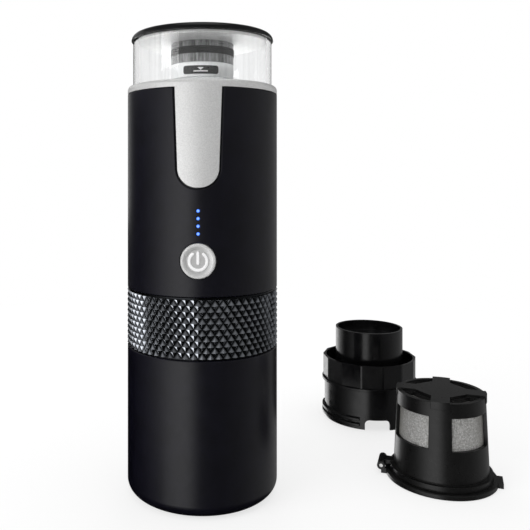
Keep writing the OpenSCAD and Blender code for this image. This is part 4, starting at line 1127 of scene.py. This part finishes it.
        # Each band takes over from the one before it between two heights, in tent radii
        bands = ((0.17, 0.25, roof), (0.5, 0.62, (0.3 * high,) * 3),
                 (0.92, 0.97, (stage.strip,) * 3), (-0.55, -0.59, (0.2 * dark,) * 3))
        for near, far, band in bands:
            reach = made.span(height, 0.0, 1.0, near * stage.tent_r, far * stage.tent_r)
            colour = made.blend(reach, colour, band)
        self.hang(context, "tent", mesh, made, colour, 1.0)

    @staticmethod
    def sheet(name, radius, edges):
        """Mesh of a cloth that lies on a ball, from edge to edge."""
        columns, rows = 12, 8
        verts = []
        for start, end in zip(edges, edges[1:]):
            for j in range(columns + 1):
                turn, foot, top = (a + (b - a) * j / columns for a, b in zip(start, end))
                right, front = math.sin(math.radians(turn)), -math.cos(math.radians(turn))
                for i in range(rows + 1):
                    up = foot + (top - foot) * i / rows
                    flat = math.sqrt(1 - up * up)
                    verts.append((radius * flat * right, radius * flat * front, radius * up))
        mesh = bpy.data.meshes.new(name)
        lines = (columns + 1) * (len(edges) - 1)
        mesh.from_pydata(verts, [], ring_faces(lines, rows + 1, False))
        return mesh

    def add_cloth(self, context, stage, name, share, edges, levels, nodes):
        """Bright cloth in the tent that shows on some nodes alone."""
        made = Finish(name + "_cloth", (0, 0, 0), 1.0)
        colour = self.by_direction(made, self.bearings(made)[0], levels)
        mesh = self.sheet(name, share * stage.tent_r, edges)
        cloth = self.hang(context, name, mesh, made, colour, getattr(stage, name))
        shown_on = bpy.data.collections.new(name + "_shown_on")
        for node in nodes:
            shown_on.objects.link(NODES[node])
        cloth.light_linking.receiver_collection = shown_on

    @staticmethod
    def add_lamp(context, stage, name, place, aim, size):
        """Soft lamp that reflections don't show."""
        lamp = bpy.data.lights.new(name + "_lamp", "AREA")
        lamp.shape = "RECTANGLE"
        lamp.size, lamp.size_y = size
        lamp.energy = getattr(stage, name)
        holder = bpy.data.objects.new(name + "_lamp", lamp)
        holder.location = place
        way = Vector(aim) - Vector(place)
        holder.rotation_euler = way.to_track_quat("-Z", "Y").to_euler()
        holder.visible_camera = False
        holder.visible_glossy = False
        context.scene.collection.objects.link(holder)


OPERATORS = (
    MAKER_OT_shells,
    MAKER_OT_metals,
    MAKER_OT_clears,
    MAKER_OT_softs,
    MAKER_OT_electrics,
    MAKER_OT_power_sign,
    MAKER_OT_fill_plate,
    MAKER_OT_level_mark,
    MAKER_OT_filter_weave,
    MAKER_OT_stage,
)


class MAKER_PT_panel(bpy.types.Panel):
    """Lists the steps in order"""

    bl_idname = "MAKER_PT_panel"
    bl_label = "Coffee maker"
    bl_space_type = "VIEW_3D"
    bl_region_type = "UI"
    bl_category = "Coffee maker"

    def draw(self, context):
        for step in OPERATORS:
            self.layout.operator(step.bl_idname)


GROUPS = {"maker_finishes": MakerFinishes, "maker_sizes": MakerSizes, "maker_stage": MakerStage}
CLASSES = (*GROUPS.values(), *OPERATORS, MAKER_PT_panel)


def register():
    """Adds the classes and hangs the settings on the scene."""
    for kind in CLASSES:
        bpy.utils.register_class(kind)
    for name, kind in GROUPS.items():
        setattr(bpy.types.Scene, name, PointerProperty(type=kind))


def unregister():
    """Takes both away again."""
    for name in GROUPS:
        delattr(bpy.types.Scene, name)
    for kind in reversed(CLASSES):
        bpy.utils.unregister_class(kind)


def main():
    """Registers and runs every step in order."""
    register()
    for step in OPERATORS:
        family, name = step.bl_idname.split(".")
        getattr(getattr(bpy.ops, family), name)()
    bpy.context.view_layer.update()


if __name__ == "__main__":
    main()
